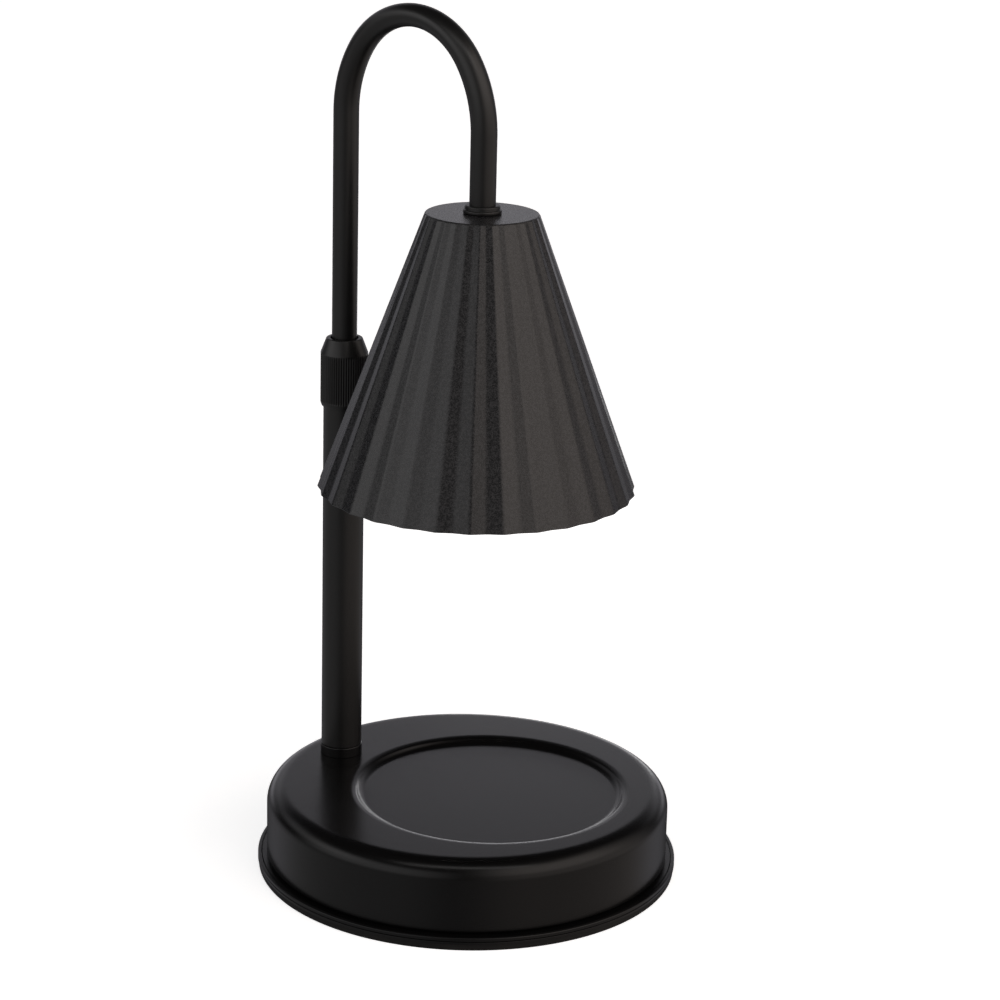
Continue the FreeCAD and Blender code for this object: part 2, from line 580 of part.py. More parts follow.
def base_shell():
    """Pressed sheet cap with a rounded shoulder, the pole's hole, the cord's hole and the jar seat."""
    body = new_body("base_shell", BASE_SPOT)
    shoulder = "Sizes.shoulder_radius"
    inner_shoulder = "(Sizes.shoulder_radius - Sizes.shell_wall)"
    turn(
        body,
        [
            (SHELL_INNER, TRAY_TOP),
            ("Sizes.shell_radius", TRAY_TOP),
            ("Sizes.shell_radius", f"(Sizes.shell_top - {shoulder})", shoulder, -1),
            (FLAT_RADIUS, "Sizes.shell_top"),
            ("0", "Sizes.shell_top"),
            ("0", SHELL_CEILING),
            (FLAT_RADIUS, SHELL_CEILING, inner_shoulder, 1),
            (SHELL_INNER, f"(Sizes.shell_top - {shoulder})"),
        ],
    )
    pan_low = f"({SHELL_CEILING} - Sizes.seat_depth)"
    floor_top = "(Sizes.shell_top - Sizes.seat_depth)"
    turn(
        body,
        [("0", SHELL_CEILING), (SEAT_RADIUS, SHELL_CEILING), (SEAT_RADIUS, "Sizes.shell_top"),
         ("0", "Sizes.shell_top")],
        cut=True,
        along=SEAT_OFFSET,
    )
    turn(
        body,
        [
            ("0", pan_low),
            (SEAT_FLOOR, pan_low),
            (SEAT_RADIUS, SHELL_CEILING),
            (SEAT_RADIUS, "Sizes.shell_top"),
            (SEAT_FLOOR, floor_top),
            ("0", floor_top),
        ],
        along=SEAT_OFFSET,
    )
    drill(body, NIPPLE_HOLE, [(f"-{POLE_OFFSET}", "0")], WEIGHT_TOP, "Sizes.shell_top")
    drill(
        body,
        "Sizes.inlet_barrel + Sizes.nipple_play",
        [("0", "Sizes.inlet_height")],
        f"-{INLET_TIP}",
        "Sizes.inlet_proud + 2 * Sizes.shell_wall",
        plane="YZ_Plane",
    )


def counterweight():
    """Cast disc on the tray, clear of the pole's nut and of the wiring."""
    body = new_body("counterweight", BASE_SPOT)
    radius = f"({SHELL_INNER} - Sizes.weight_gap)"
    turn(body, [("0", TRAY_TOP), (radius, TRAY_TOP), (radius, WEIGHT_TOP), ("0", WEIGHT_TOP)])
    bore = turn(
        body,
        [("0", TRAY_TOP), (SCREW_HOLE, TRAY_TOP), (SCREW_HOLE, WEIGHT_TOP), ("0", WEIGHT_TOP)],
        cut=True,
        along=POST_CIRCLE,
    )
    repeat(body, bore, "Sizes.post_count")
    notch_end = f"(Sizes.notch_reach - {POLE_OFFSET})"
    half = "(Sizes.notch_width / 2)"
    slab(
        body,
        [
            (f"-{TRAY_RADIUS}", f"-{half}"),
            (f"({notch_end} - {half})", f"-{half}", half, -1),
            (notch_end, "0", half, -1),
            (f"({notch_end} - {half})", half),
            (f"-{TRAY_RADIUS}", half),
        ],
        "2 * Sizes.weight_height",
        plane="XY_Plane",
        cut=True,
        height=TRAY_TOP,
    )


def base_posts():
    """Tapped posts welded under the shell's top, which the tray screws pull against."""
    body = new_body("base_posts", BASE_SPOT)
    bore = "(Sizes.tray_screw_radius + Sizes.thread_play)"
    post = turn(
        body,
        [
            (bore, WEIGHT_TOP),
            (POST_RADIUS, WEIGHT_TOP),
            (POST_RADIUS, SHELL_CEILING),
            ("0", SHELL_CEILING),
            ("0", POST_BORE_TOP),
            (bore, POST_BORE_TOP),
        ],
        along=POST_CIRCLE,
    )
    repeat(body, post, "Sizes.post_count")


def tray_screws():
    """Countersunk screws through tray and counterweight into the posts."""
    body = new_body("tray_screws", BASE_SPOT)
    shank = "Sizes.tray_screw_radius"
    head = "Sizes.tray_screw_head"
    tip = f"({POST_BORE_TOP} - Sizes.screw_end_gap)"
    screw = turn(
        body,
        [
            ("0", TRAY_LOW),
            (head, TRAY_LOW),
            (shank, f"({TRAY_LOW} + {head} - {shank})"),
            (shank, tip),
            ("0", tip),
        ],
        along=POST_CIRCLE,
    )
    repeat(body, screw, "Sizes.post_count")


def inlet_rod(name, radius, start, length):
    """A rod along the cord inlet's axis, start being its distance from the base's centre."""
    turned = {
        "Placement.Base.x": f"-({start})",
        "Placement.Base.z": "Sizes.inlet_height",
        "Placement.Rotation.Axis.x": "0",
        "Placement.Rotation.Axis.y": "1",
        "Placement.Rotation.Axis.z": "0",
        "Placement.Rotation.Angle": "90",
    }
    return primitive("Part::Cylinder", name, dict(turned, Radius=radius, Height=length))


def cord_gland():
    """Bushing in the back wall: a flange that follows the wall outside and a threaded barrel inside."""
    flange_length = "Sizes.inlet_proud + Sizes.shell_wall"
    flange = inlet_rod("gland_flange", "Sizes.inlet_flange", INLET_TIP, flange_length)
    wall = primitive(
        "Part::Cylinder", "gland_wall", {"Radius": "Sizes.shell_radius", "Height": "Sizes.shell_top"}
    )
    seated = doc.addObject("Part::Cut", "gland_flange_seated")
    seated.Base = flange
    seated.Tool = wall
    barrel = inlet_rod("gland_barrel", "Sizes.inlet_barrel", INLET_TIP, INLET_LENGTH)
    bore = inlet_rod("gland_bore", "Sizes.inlet_bore", INLET_TIP, INLET_LENGTH)
    joined = doc.addObject("Part::MultiFuse", "gland_joined")
    joined.Shapes = [seated, barrel]
    subtract("cord_gland", BASE_SPOT, joined, bore)


def gland_nut():
    """Round nut that holds the bushing from inside the shell."""
    start = f"{SHELL_INNER} - Sizes.inlet_nut_inset"
    thread = "Sizes.inlet_barrel + Sizes.thread_play"
    blank = inlet_rod("gland_nut_blank", "Sizes.inlet_nut_radius", start, "Sizes.inlet_nut_height")
    bore = inlet_rod("gland_nut_bore", thread, start, "Sizes.inlet_nut_height")
    subtract("gland_nut", BASE_SPOT, blank, bore)


def terminal_block():
    """Two-pole block on the tray under the pole, with its screws' wells and a hole for each wire."""
    body = new_body("terminal_block", POLE_SPOT)
    half_width = "(Sizes.block_width / 2)"
    half_pitch = "(Sizes.block_pole_pitch / 2)"
    slab(
        body,
        [
            (f"-{half_width}", TRAY_TOP),
            (half_width, TRAY_TOP),
            (half_width, BLOCK_TOP),
            (f"-{half_width}", BLOCK_TOP),
        ],
        "Sizes.block_length",
    )
    drill(
        body,
        "Sizes.block_screw_radius + Sizes.thread_play",
        [("0", half_pitch), ("0", f"-{half_pitch}")],
        f"{BLOCK_TOP} - Sizes.block_screw_length",
        "2 * Sizes.block_screw_length",
    )
    wire_level = f"({TRAY_TOP} + Sizes.block_wire_height)"
    drill(
        body,
        "Sizes.block_wire_radius",
        [(half_pitch, wire_level), (f"-{half_pitch}", wire_level)],
        "-Sizes.block_width",
        "2 * Sizes.block_width",
        plane="YZ_Plane",
    )


def terminal_screws():
    """The terminal block's two screws, sunk in their wells."""
    body = new_body("terminal_screws", POLE_SPOT)
    low = f"({BLOCK_TOP} - Sizes.block_screw_length)"
    top = f"({BLOCK_TOP} - Sizes.block_screw_sink)"
    radius = "Sizes.block_screw_radius"
    screw = turn(
        body,
        [("0", low), (radius, low), (radius, top), ("0", top)],
        height="Sizes.block_pole_pitch / 2",
    )
    repeat(body, screw, "2")


# ---------------------------------------------------------------- pole
def pole_foot_ring():
    """Turned ring between the shell's top and the tube."""
    body = new_body("pole_foot_ring", POLE_SPOT)
    plain = turn(
        body,
        [
            (NIPPLE_HOLE, "Sizes.shell_top"),
            (FOOT_RING_RADIUS, "Sizes.shell_top"),
            (FOOT_RING_RADIUS, TUBE_FOOT),
            (NIPPLE_HOLE, TUBE_FOOT),
        ],
    )
    round_edges(body, plain, "Sizes.foot_ring_round", [(FOOT_RING_RADIUS, TUBE_FOOT)])


def lock_washer():
    """Toothed washer under the shell's top."""
    body = ring("lock_washer", POLE_SPOT, NIPPLE_HOLE, WASHER_RADIUS, WASHER_LOW, SHELL_CEILING)
    notch_inner = f"({WASHER_RADIUS} - Sizes.lock_washer_tooth)"
    notch_outer = f"({WASHER_RADIUS} + Sizes.cut_over)"
    notch = turn(
        body,
        [
            (notch_inner, WASHER_LOW),
            (notch_outer, WASHER_LOW),
            (notch_outer, SHELL_CEILING),
            (notch_inner, SHELL_CEILING),
        ],
        cut=True,
        angle="360 / Sizes.lock_washer_teeth / 2",
    )
    repeat(body, notch, "Sizes.lock_washer_teeth")


def thread_sleeve():
    """Sleeve in the top of the lower tube: shank, flange and the thread that carries the lock collar."""
    body = new_body("thread_sleeve", POLE_SPOT)
    bore = "(Sizes.arm_tube_radius + Sizes.sleeve_play)"
    flange = f"({TUBE_RADIUS} - Sizes.sleeve_flange_inset)"
    turn(
        body,
        [
            (bore, SLEEVE_LOW),
            (PLUG_RADIUS, SLEEVE_LOW),
            (PLUG_RADIUS, TUBE_TOP),
            (flange, TUBE_TOP),
            (flange, FLANGE_TOP),
            (SLEEVE_THREAD_RADIUS, FLANGE_TOP),
            (SLEEVE_THREAD_RADIUS, SLEEVE_TOP),
            (bore, SLEEVE_TOP),
        ],
    )


def collet():
    """Split cone that the collar squeezes onto the gooseneck."""
    body = new_body("collet", POLE_SPOT)
    turn(
        body,
        [
            (ARM_SLIDE, SLEEVE_TOP),
            (COLLET_RADIUS, SLEEVE_TOP),
            (COLLET_RADIUS, COLLET_CONE),
            (COLLET_TIP_RADIUS, COLLET_TIP),
            (ARM_SLIDE, COLLET_TIP),
        ],
    )
    slit_end = f"({COLLET_RADIUS} + Sizes.cut_over)"
    slit_low = f"({SLEEVE_TOP} - Sizes.cut_over)"
    slit_high = f"({COLLET_TIP} + Sizes.cut_over)"
    slab(
        body,
        [("0", slit_low), (slit_end, slit_low), (slit_end, slit_high), ("0", slit_high)],
        "Sizes.collet_slit",
        cut=True,
    )


def lock_collar():
    """Hand-turned collar over tube, sleeve and collet."""
    body = new_body("lock_collar", POLE_SPOT)
    thread = f"({SLEEVE_THREAD_RADIUS} + Sizes.turning_play)"
    skirt_top = f"({FLANGE_TOP} + Sizes.collet_gap)"
    cone_low = f"({COLLET_CONE} + Sizes.collet_gap)"
    plain = turn(
        body,
        [
            (COLLAR_SKIRT, COLLAR_LOW),
            (f"({COLLAR_SKIRT} + Sizes.collar_foot_wall)", COLLAR_LOW),
            (COLLAR_RADIUS, f"({COLLAR_LOW} + Sizes.collar_foot)"),
            (COLLAR_RADIUS, f"({COLLAR_HIGH} - Sizes.collar_shoulder)"),
            (COLLAR_LIP_RADIUS, COLLAR_HIGH),
            (COLLAR_LIP_BORE, COLLAR_HIGH),
            (COLLAR_LIP_BORE, COLLAR_LIP),
            (f"({COLLET_TIP_RADIUS} + Sizes.collet_gap)", COLLAR_LIP),
            (thread, cone_low),
            (thread, skirt_top),
            (COLLAR_SKIRT, skirt_top),
        ],
    )
    round_edges(body, plain, "Sizes.collar_lip_round", [(COLLAR_LIP_RADIUS, COLLAR_HIGH)])


# ---------------------------------------------------------------- gooseneck
def gooseneck_path(body, low, end):
    """Centre line in the arm's plane: up the pole, over three tangent arcs, down to the shade."""
    crown_radius = f"({ARM_REACH} / 2 - Sizes.crown_less)"
    flank_radius = f"({ARM_REACH} / 2 + Sizes.flank_more)"
    bend_spring = f"({SHADE_TOP} + Sizes.neck_run)"
    reach = value(ARM_REACH)
    crown = value(crown_radius)
    flank = value(flank_radius)
    spring = value(bend_spring)
    rise = math.sqrt((flank - crown) ** 2 - (flank - reach / 2) ** 2)
    lean = math.atan2(rise, flank - reach / 2)
    left = Vector(flank, spring, 0)
    right = Vector(reach - flank, spring, 0)
    middle = Vector(reach / 2, spring + rise, 0)

    def around(centre, radius, angle):
        return centre + Vector(math.cos(angle), math.sin(angle), 0) * radius

    sketch = new_sketch(body)
    low_spot = Vector(0, value(low), 0)
    end_spot = Vector(reach, value(end), 0)
    start_bend = Vector(0, spring, 0)
    end_bend = Vector(reach, spring, 0)
    crown_start = around(left, flank, math.pi - lean)
    crown_end = around(right, flank, lean)
    sketch.addGeometry(
        [
            Part.LineSegment(low_spot, start_bend),
            Part.Arc(start_bend, around(left, flank, math.pi - lean / 2), crown_start),
            Part.Arc(crown_start, around(middle, crown, math.pi / 2), crown_end),
            Part.Arc(crown_end, around(right, flank, lean / 2), end_bend),
            Part.LineSegment(end_bend, end_spot),
        ],
        False,
    )
    # arcs run anticlockwise, so each starts at its right-hand end
    for first, first_end, second, second_end in ((0, 2, 1, 2), (1, 1, 2, 2), (2, 1, 3, 2), (3, 1, 4, 1)):
        sketch.addConstraint(Sketcher.Constraint("Tangent", first, first_end, second, second_end))
    sketch.addConstraint(Sketcher.Constraint("Vertical", 0))
    sketch.addConstraint(Sketcher.Constraint("Vertical", 4))
    sketch.addConstraint(Sketcher.Constraint("Equal", 1, 3))
    for edge, formula in ((1, flank_radius), (2, crown_radius)):
        index = sketch.addConstraint(Sketcher.Constraint("Radius", edge, value(formula)))
        sketch.renameConstraint(index, f"bend_{edge}")
        sketch.setExpression(f"Constraints.bend_{edge}", formula)
    pin_point(sketch, 0, 1, "0", low)
    pin_point(sketch, 4, 2, ARM_REACH, end)
    index = sketch.addConstraint(Sketcher.Constraint("DistanceY", -1, 1, 0, 2, spring))
    sketch.renameConstraint(index, "spring")
    sketch.setExpression("Constraints.spring", bend_spring)
    doc.recompute()
    return sketch


def swept_tube(label, low, end, radii):
    """A round tube or rod along the gooseneck's centre line."""
    body = new_body(label, ARM_SPOT)
    path = gooseneck_path(body, low, end)
    section = new_sketch(body, "XY_Plane", height=low)
    for radius in radii:
        edge = section.addGeometry(Part.Circle(Vector(0, 0, 0), Vector(0, 0, 1), value(radius)), False)
        section.addConstraint(Sketcher.Constraint("Coincident", edge, 3, -1, 1))
        index = section.addConstraint(Sketcher.Constraint("Radius", edge, value(radius)))
        section.renameConstraint(index, f"tube_{edge}")
        section.setExpression(f"Constraints.tube_{edge}", radius)
    doc.recompute()
    pipe = body.newObject("PartDesign::AdditivePipe", label + "_pipe")
    pipe.Profile = section
    pipe.Spine = path
    doc.recompute()
    return body


def bush_rings():
    """Two rings on the gooseneck that keep the guide bush between them."""
    body = new_body("bush_rings", ARM_SPOT)
    outer = f"({TUBE_BORE} - Sizes.bush_ring_gap)"
    for low, high in ((RING_LOW, RING_LOW_TOP), (RING_HIGH, RING_HIGH_TOP)):
        turn(body, [(ARM_THREAD, low), (outer, low), (outer, high), (ARM_THREAD, high)])


# ---------------------------------------------------------------- shade
def pleated_wire(mean_radius, depth, level, phase):
    """Closed zigzag about the vertical axis, with one crest and one valley for each pleat."""
    pleats = int(size("pleat_count"))
    corners = []
    for corner in range(2 * pleats):
        radius = mean_radius + (depth / 2 if corner % 2 == 0 else -depth / 2)
        bearing = phase + math.pi * corner / pleats
        corners.append(Vector(radius * math.cos(bearing), radius * math.sin(bearing), level))
    return Part.makePolygon(corners + corners[:1])


def pleated_cone(inset, low, high):
    """Solid with pleats that shrink with the cone, its radii less an inset."""
    rim = size("shade_rim_radius")
    slope = (rim - size("shade_top_radius")) / size("shade_height")
    phase = math.radians(size("pleat_phase"))
    wires = []
    for level in (low, high):
        radius = rim - slope * (level - value(SHADE_RIM))
        wires.append(pleated_wire(radius - inset, size("pleat_depth") * radius / rim, level, phase))
    return Part.makeLoft(wires, True, True)


def shade():
    """Pleated sheet cone with a smooth edge and a flat top plate with the tube's hole."""
    rim = value(SHADE_RIM)
    top = value(SHADE_TOP)
    edge_low = top - size("shade_cap_edge")
    ceiling = value(CAP_UNDERSIDE)
    outside = pleated_cone(0, rim, edge_low)
    edge = Part.makeCylinder(size("shade_top_radius"), top - edge_low, Vector(0, 0, edge_low))
    inside = pleated_cone(size("shade_wall"), rim, ceiling)
    hole = Part.makeCylinder(value(ARM_HOLE), 2 * size("shade_cap"), Vector(0, 0, ceiling))
    sheet_metal = outside.fuse(edge).cut(inside).cut(hole)
    piece = doc.addObject("Part::Feature", "shade")
    piece.Label = "shade"
    piece.Shape = sheet_metal.removeSplitter()
    bind(piece, SHADE_SPOT)
    pieces.append(piece)


def shade_ring():
    """Two-tier ring on the gooseneck that clamps the shade from above."""
    body = new_body("shade_ring", SHADE_SPOT)
    outer = "(Sizes.arm_tube_radius + Sizes.shade_ring_wall)"
    upper = f"({outer} - Sizes.shade_ring_step)"
    step_level = f"({SHADE_TOP} + Sizes.shade_ring_lower)"
    top = f"({SHADE_TOP} + Sizes.shade_ring_height)"
    plain = turn(
        body,
        [
            (ARM_THREAD, SHADE_TOP),
            (outer, SHADE_TOP),
            (outer, step_level),
            (upper, step_level),
            (upper, top),
            (ARM_THREAD, top),
        ],
    )
    round_edges(body, plain, "Sizes.shade_ring_round", [(outer, step_level), (upper, top)])


# ---------------------------------------------------------------- lampholder
def holder_bracket():
    """Bent strip from the tube's thread to the two ears that carry the lampholder."""
    body = new_body("holder_bracket", SHADE_SPOT)
    half = "Sizes.holder_radius"
    inside = "(Sizes.holder_radius - Sizes.bracket_sheet)"
    toe = "(Sizes.holder_radius - Sizes.bracket_foot)"
    slab(
        body,
        [
            (f"-{half}", BRACKET_TOP),
            (f"-{half}", HOLDER_TOP),
            (f"-{toe}", HOLDER_TOP),
            (f"-{toe}", FOOT_TOP),
            (f"-{inside}", FOOT_TOP),
            (f"-{inside}", BRACKET_LOW),
            (inside, BRACKET_LOW),
            (inside, FOOT_TOP),
            (toe, FOOT_TOP),
            (toe, HOLDER_TOP),
            (half, HOLDER_TOP),
            (half, BRACKET_TOP),
        ],
        "2 * (Sizes.arm_tube_radius + Sizes.bracket_rim)",
    )
    drill(body, ARM_HOLE, [("0", "0")], f"{BRACKET_LOW} - Sizes.cut_over", "Sizes.bracket_height")
    drill(
        body,
        "Sizes.holder_screw_radius + Sizes.nipple_play",
        [(HOLDER_SCREW_CIRCLE, "0"), (f"-{HOLDER_SCREW_CIRCLE}", "0")],
        f"{HOLDER_TOP} - Sizes.cut_over",
        "Sizes.bracket_sheet + 2 * Sizes.cut_over",
    )


def lampholder():
    """Ceramic holder with two curved keyholes for the bulb's pins and holes for the screws and leads."""
    body = new_body("lampholder", SHADE_SPOT)
    bore = "Sizes.lead_radius"
    rim = "Sizes.holder_radius"
    turn(body, [(bore, HOLDER_LOW), (rim, HOLDER_LOW), (rim, HOLDER_TOP), (bore, HOLDER_TOP)])
    for radius, low, high in (
        ("Sizes.pin_radius", HOLDER_LOW, CHAMBER_LOW),
        ("Sizes.pin_head_radius", CHAMBER_LOW, CHAMBER_TOP),
    ):
        wide = f"({radius} + Sizes.keyhole_play)"
        inner = f"(Sizes.pin_circle - {wide})"
        outer = f"(Sizes.pin_circle + {wide})"
        slot = turn(
            body,
            [(inner, low), (outer, low), (outer, high), (inner, high)],
            cut=True,
            angle=f"2 * (Sizes.bulb_twist + asin({wide} / Sizes.pin_circle) / 1 deg)",
        )
        repeat(body, slot, "2")
    drill(
        body,
        "Sizes.holder_screw_radius + Sizes.thread_play",
        [(HOLDER_SCREW_CIRCLE, "0"), (f"-{HOLDER_SCREW_CIRCLE}", "0")],
        f"{HOLDER_TOP} - Sizes.holder_screw_length",
        "2 * Sizes.holder_screw_length",
    )


def holder_contacts():
    """Two contact strips in the roofs of the keyholes, pressed by the bulb's pins."""
    body = new_body("holder_contacts", SHADE_SPOT)
    inner = "(Sizes.pin_circle - Sizes.contact_width / 2)"
    outer = "(Sizes.pin_circle + Sizes.contact_width / 2)"
    low = f"({CHAMBER_TOP} - Sizes.contact_thickness)"
    strip = turn(
        body,
        [(inner, low), (outer, low), (outer, CHAMBER_TOP), (inner, CHAMBER_TOP)],
        angle="2 * Sizes.bulb_twist",
    )
    repeat(body, strip, "2")


def holder_screws():
    """Two cheese-head screws that fix the lampholder to the bracket's feet."""
    body = new_body("holder_screws", SHADE_SPOT)
    shank = "Sizes.holder_screw_radius"
    head = "Sizes.holder_screw_head"
    low = f"({FOOT_TOP} - Sizes.holder_screw_length)"
    head_top = f"({FOOT_TOP} + Sizes.holder_screw_cap)"
    screw = turn(
        body,
        [("0", low), (shank, low), (shank, FOOT_TOP), (head, FOOT_TOP), (head, head_top), ("0", head_top)],
        along=HOLDER_SCREW_CIRCLE,
    )
    repeat(body, screw, "2")


# ---------------------------------------------------------------- bulb
def bulb_base():
    """Ceramic foot of the bulb, with a cup for the reflector's neck and sockets for the pins."""
    body = new_body("bulb_base", SHADE_SPOT)
    turn(
        body,
        [
            (CUP_RADIUS, BULB_BASE_LOW),
            ("Sizes.bulb_base_radius", BULB_BASE_LOW),
            ("Sizes.bulb_base_radius", BULB_TOP),
            ("0", BULB_TOP),
            ("0", NECK_TOP),
            (CUP_RADIUS, NECK_TOP),
        ],
    )
    drill(
        body,
        "Sizes.pin_radius + Sizes.thread_play",
        [("Sizes.pin_circle", "0"), ("-Sizes.pin_circle", "0")],
        f"{NECK_TOP} - Sizes.cut_over",
        "Sizes.bulb_base_length + 2 * Sizes.cut_over",
    )


def bulb_pins():
    """Two headed contact pins."""
    body = new_body("bulb_pins", SHADE_SPOT)
    shank = "Sizes.pin_radius"
    head = "Sizes.pin_head_radius"
    root = f"({NECK_TOP} + Sizes.pin_inset)"
    pin = turn(
        body,
        [
            ("0", root),
            (shank, root),
            (shank, PIN_HEAD_LOW),
            (head, PIN_HEAD_LOW),
            (head, PIN_TOP),
            ("0", PIN_TOP),
        ],
        along="Sizes.pin_circle",
    )
    repeat(body, pin, "2")


def bulb_reflector():
    """Pressed glass bowl, closed at its neck, with a step for the front glass."""
    body = new_body("bulb_reflector", SHADE_SPOT)
    inner_neck = f"({NECK_RADIUS} - Sizes.reflector_wall)"
    front = "Sizes.reflector_radius"
    step = f"({LENS_RADIUS} + Sizes.thread_play)"
    land = f"({LENS_RADIUS} - Sizes.reflector_wall)"
    land_level = f"({LENS_TOP} + Sizes.thread_play)"
    neck_floor = f"({NECK_TOP} - Sizes.reflector_wall)"
    rim_top = f"({LENS_TOP} + Sizes.reflector_wall)"
    turn(
        body,
        [
            ("0", NECK_TOP),
            ("0", neck_floor),
            (inner_neck, neck_floor),
            (inner_neck, NECK_LOW, "(Sizes.reflector_bow - Sizes.reflector_wall)", 1),
            (land, rim_top),
            (land, land_level),
            (step, land_level),
            (step, BULB_FRONT),
            (front, BULB_FRONT),
            (front, rim_top, "Sizes.reflector_bow", -1),
            (NECK_RADIUS, NECK_LOW),
            (NECK_RADIUS, NECK_TOP),
        ],
    )


def bulb_lens():
    """Flat front glass, set in the reflector's step."""
    body = new_body("bulb_lens", SHADE_SPOT)
    turn(body, [("0", BULB_FRONT), (LENS_RADIUS, BULB_FRONT), (LENS_RADIUS, LENS_TOP), ("0", LENS_TOP)])


def bulb_capsule():
    """Halogen capsule on the axis, standing out of the reflector's neck."""
    body = new_body("bulb_capsule", SHADE_SPOT)
    radius = "Sizes.capsule_radius"
    foot = f"({NECK_TOP} - Sizes.reflector_wall)"
    straight = f"({foot} - Sizes.capsule_length + Sizes.capsule_radius)"
    tip = f"({foot} - Sizes.capsule_length)"
    turn(body, [("0", tip, radius, 1), (radius, straight), (radius, foot), ("0", foot)])


# ---------------------------------------------------------------- the whole lamp
anti_slip_pad()
base_tray()
base_shell()
base_posts()
counterweight()
tray_screws()
cord_gland()
gland_nut()
terminal_block()
terminal_screws()
pole_foot_ring()
ring("lower_tube", POLE_SPOT, TUBE_BORE, TUBE_RADIUS, TUBE_FOOT, TUBE_TOP)
ring("pole_socket", POLE_SPOT, NIPPLE_THREAD, PLUG_RADIUS, TUBE_FOOT, SOCKET_TOP)
ring(
    "pole_nipple",
    POLE_SPOT,
    f"({NIPPLE_RADIUS} - Sizes.nipple_wall)",
    NIPPLE_RADIUS,
    f"({NUT_LOW} - Sizes.nipple_tail)",
    SOCKET_TOP,
)
lock_washer()
hex_nut("pole_nut", POLE_SPOT, NUT_HALF_WIDTH, NIPPLE_THREAD, NUT_LOW, "Sizes.nut_height")
thread_sleeve()
collet()
lock_collar()
ring("slide_bush", ARM_SPOT, ARM_SLIDE, f"({TUBE_BORE} - Sizes.slide_play)", BUSH_LOW, BUSH_TOP)
bush_rings()
swept_tube("upper_tube", ARM_LOW, ARM_END, [ARM_RADIUS, ARM_BORE])
swept_tube("arm_lead", LEAD_JOIN, HOLDER_TOP, ["Sizes.lead_radius"])
ring("pole_lead", POLE_SPOT, "0", "Sizes.lead_radius", BLOCK_TOP, LEAD_JOIN)
shade_ring()
shade()
ring(
    "shade_washer",
    SHADE_SPOT,
    ARM_HOLE,
    "(Sizes.arm_tube_radius + Sizes.shade_washer_wall)",
    BRACKET_TOP,
    CAP_UNDERSIDE,
)
hex_nut(
    "shade_nut",
    SHADE_SPOT,
    "(Sizes.arm_tube_radius + Sizes.shade_nut_wall)",
    ARM_THREAD,
    SHADE_NUT_LOW,
    "Sizes.shade_nut_height",
)
holder_bracket()
lampholder()
holder_contacts()
holder_screws()
bulb_base()
bulb_pins()
bulb_reflector()
bulb_lens()
bulb_capsule()

# ---------------------------------------------------------------- checks and files
doc.recompute()
for thing in doc.Objects:
    if "Invalid" in thing.State or "Error" in thing.State:
        raise RuntimeError(f"{thing.Label} did not compute: {thing.State}")
for piece in pieces:
    if piece.Shape.isNull() or not piece.Shape.isValid() or not piece.Shape.Solids:
        raise RuntimeError(f"{piece.Label} has no valid solid")
os.makedirs("parts", exist_ok=True)
for piece in pieces:
    piece.Shape.exportStep(os.path.join("parts", piece.Label + ".step"))
    print(f"{piece.Label}: {len(piece.Shape.Solids)} solids, {piece.Shape.Volume:.0f} mm3")
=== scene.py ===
# %% [markdown]
# # A candle warmer lamp
# A weighted round base carries a jar candle. A pole rises from it, and a bent tube slides in the pole and
# holds a pleated shade with a halogen bulb over the candle. This notebook dresses the lamp's engineering
# model, which is called the frame here: every piece stands where the frame says, and what the frame's boxes
# don't tell, such as a wall or a bend, is a named size. The frame is loaded first.

# %% Load the frame
import json
import math

import bmesh
import bpy
import numpy as np
from mathutils import Matrix, Vector


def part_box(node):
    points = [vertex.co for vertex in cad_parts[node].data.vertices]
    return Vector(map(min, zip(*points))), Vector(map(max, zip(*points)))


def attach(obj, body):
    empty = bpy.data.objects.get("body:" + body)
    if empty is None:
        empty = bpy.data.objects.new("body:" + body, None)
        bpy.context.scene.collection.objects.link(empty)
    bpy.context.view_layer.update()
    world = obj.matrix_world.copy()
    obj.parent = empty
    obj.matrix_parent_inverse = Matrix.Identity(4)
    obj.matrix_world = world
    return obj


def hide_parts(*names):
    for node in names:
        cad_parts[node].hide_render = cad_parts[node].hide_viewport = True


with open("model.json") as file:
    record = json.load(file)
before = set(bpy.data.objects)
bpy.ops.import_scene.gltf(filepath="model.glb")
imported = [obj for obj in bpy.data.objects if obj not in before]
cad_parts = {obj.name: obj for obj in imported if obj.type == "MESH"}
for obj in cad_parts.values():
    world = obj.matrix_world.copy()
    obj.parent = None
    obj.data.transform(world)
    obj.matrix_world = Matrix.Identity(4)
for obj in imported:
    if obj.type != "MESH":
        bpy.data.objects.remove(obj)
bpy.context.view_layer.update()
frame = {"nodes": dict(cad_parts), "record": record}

# %% [markdown]
# ## Millimetres and places
# A maker thinks of this lamp in millimetres and Blender works in metres, so one value turns the one into the
# other. The frame gives each piece's lowest and highest corner. The middle of a round piece's box is its
# axis, and three axes serve the whole lamp: the base's, which is the origin, the pole's and the shade's.

# %% Places read from the frame
MM = 0.001


def corners(node):
    """A node's lowest and highest corner in millimetres."""
    low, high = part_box(node)
    return np.array(low) / MM, np.array(high) / MM


def axis(node):
    """Where a round, upright node's axis meets the table."""
    return np.mean(corners(node), axis=0)[:2]


def levels(node):
    """A node's lowest and highest level."""
    low, high = corners(node)
    return low[2], high[2]


pole = axis("lower_tube")
lamp = axis("bulb_lens")
arm_way = (lamp - pole) / np.linalg.norm(lamp - pole)
arm_reach = np.linalg.norm(lamp - pole)
print("pole axis", pole.round(2), "shade axis", lamp.round(2), "reach", arm_reach.round(2))

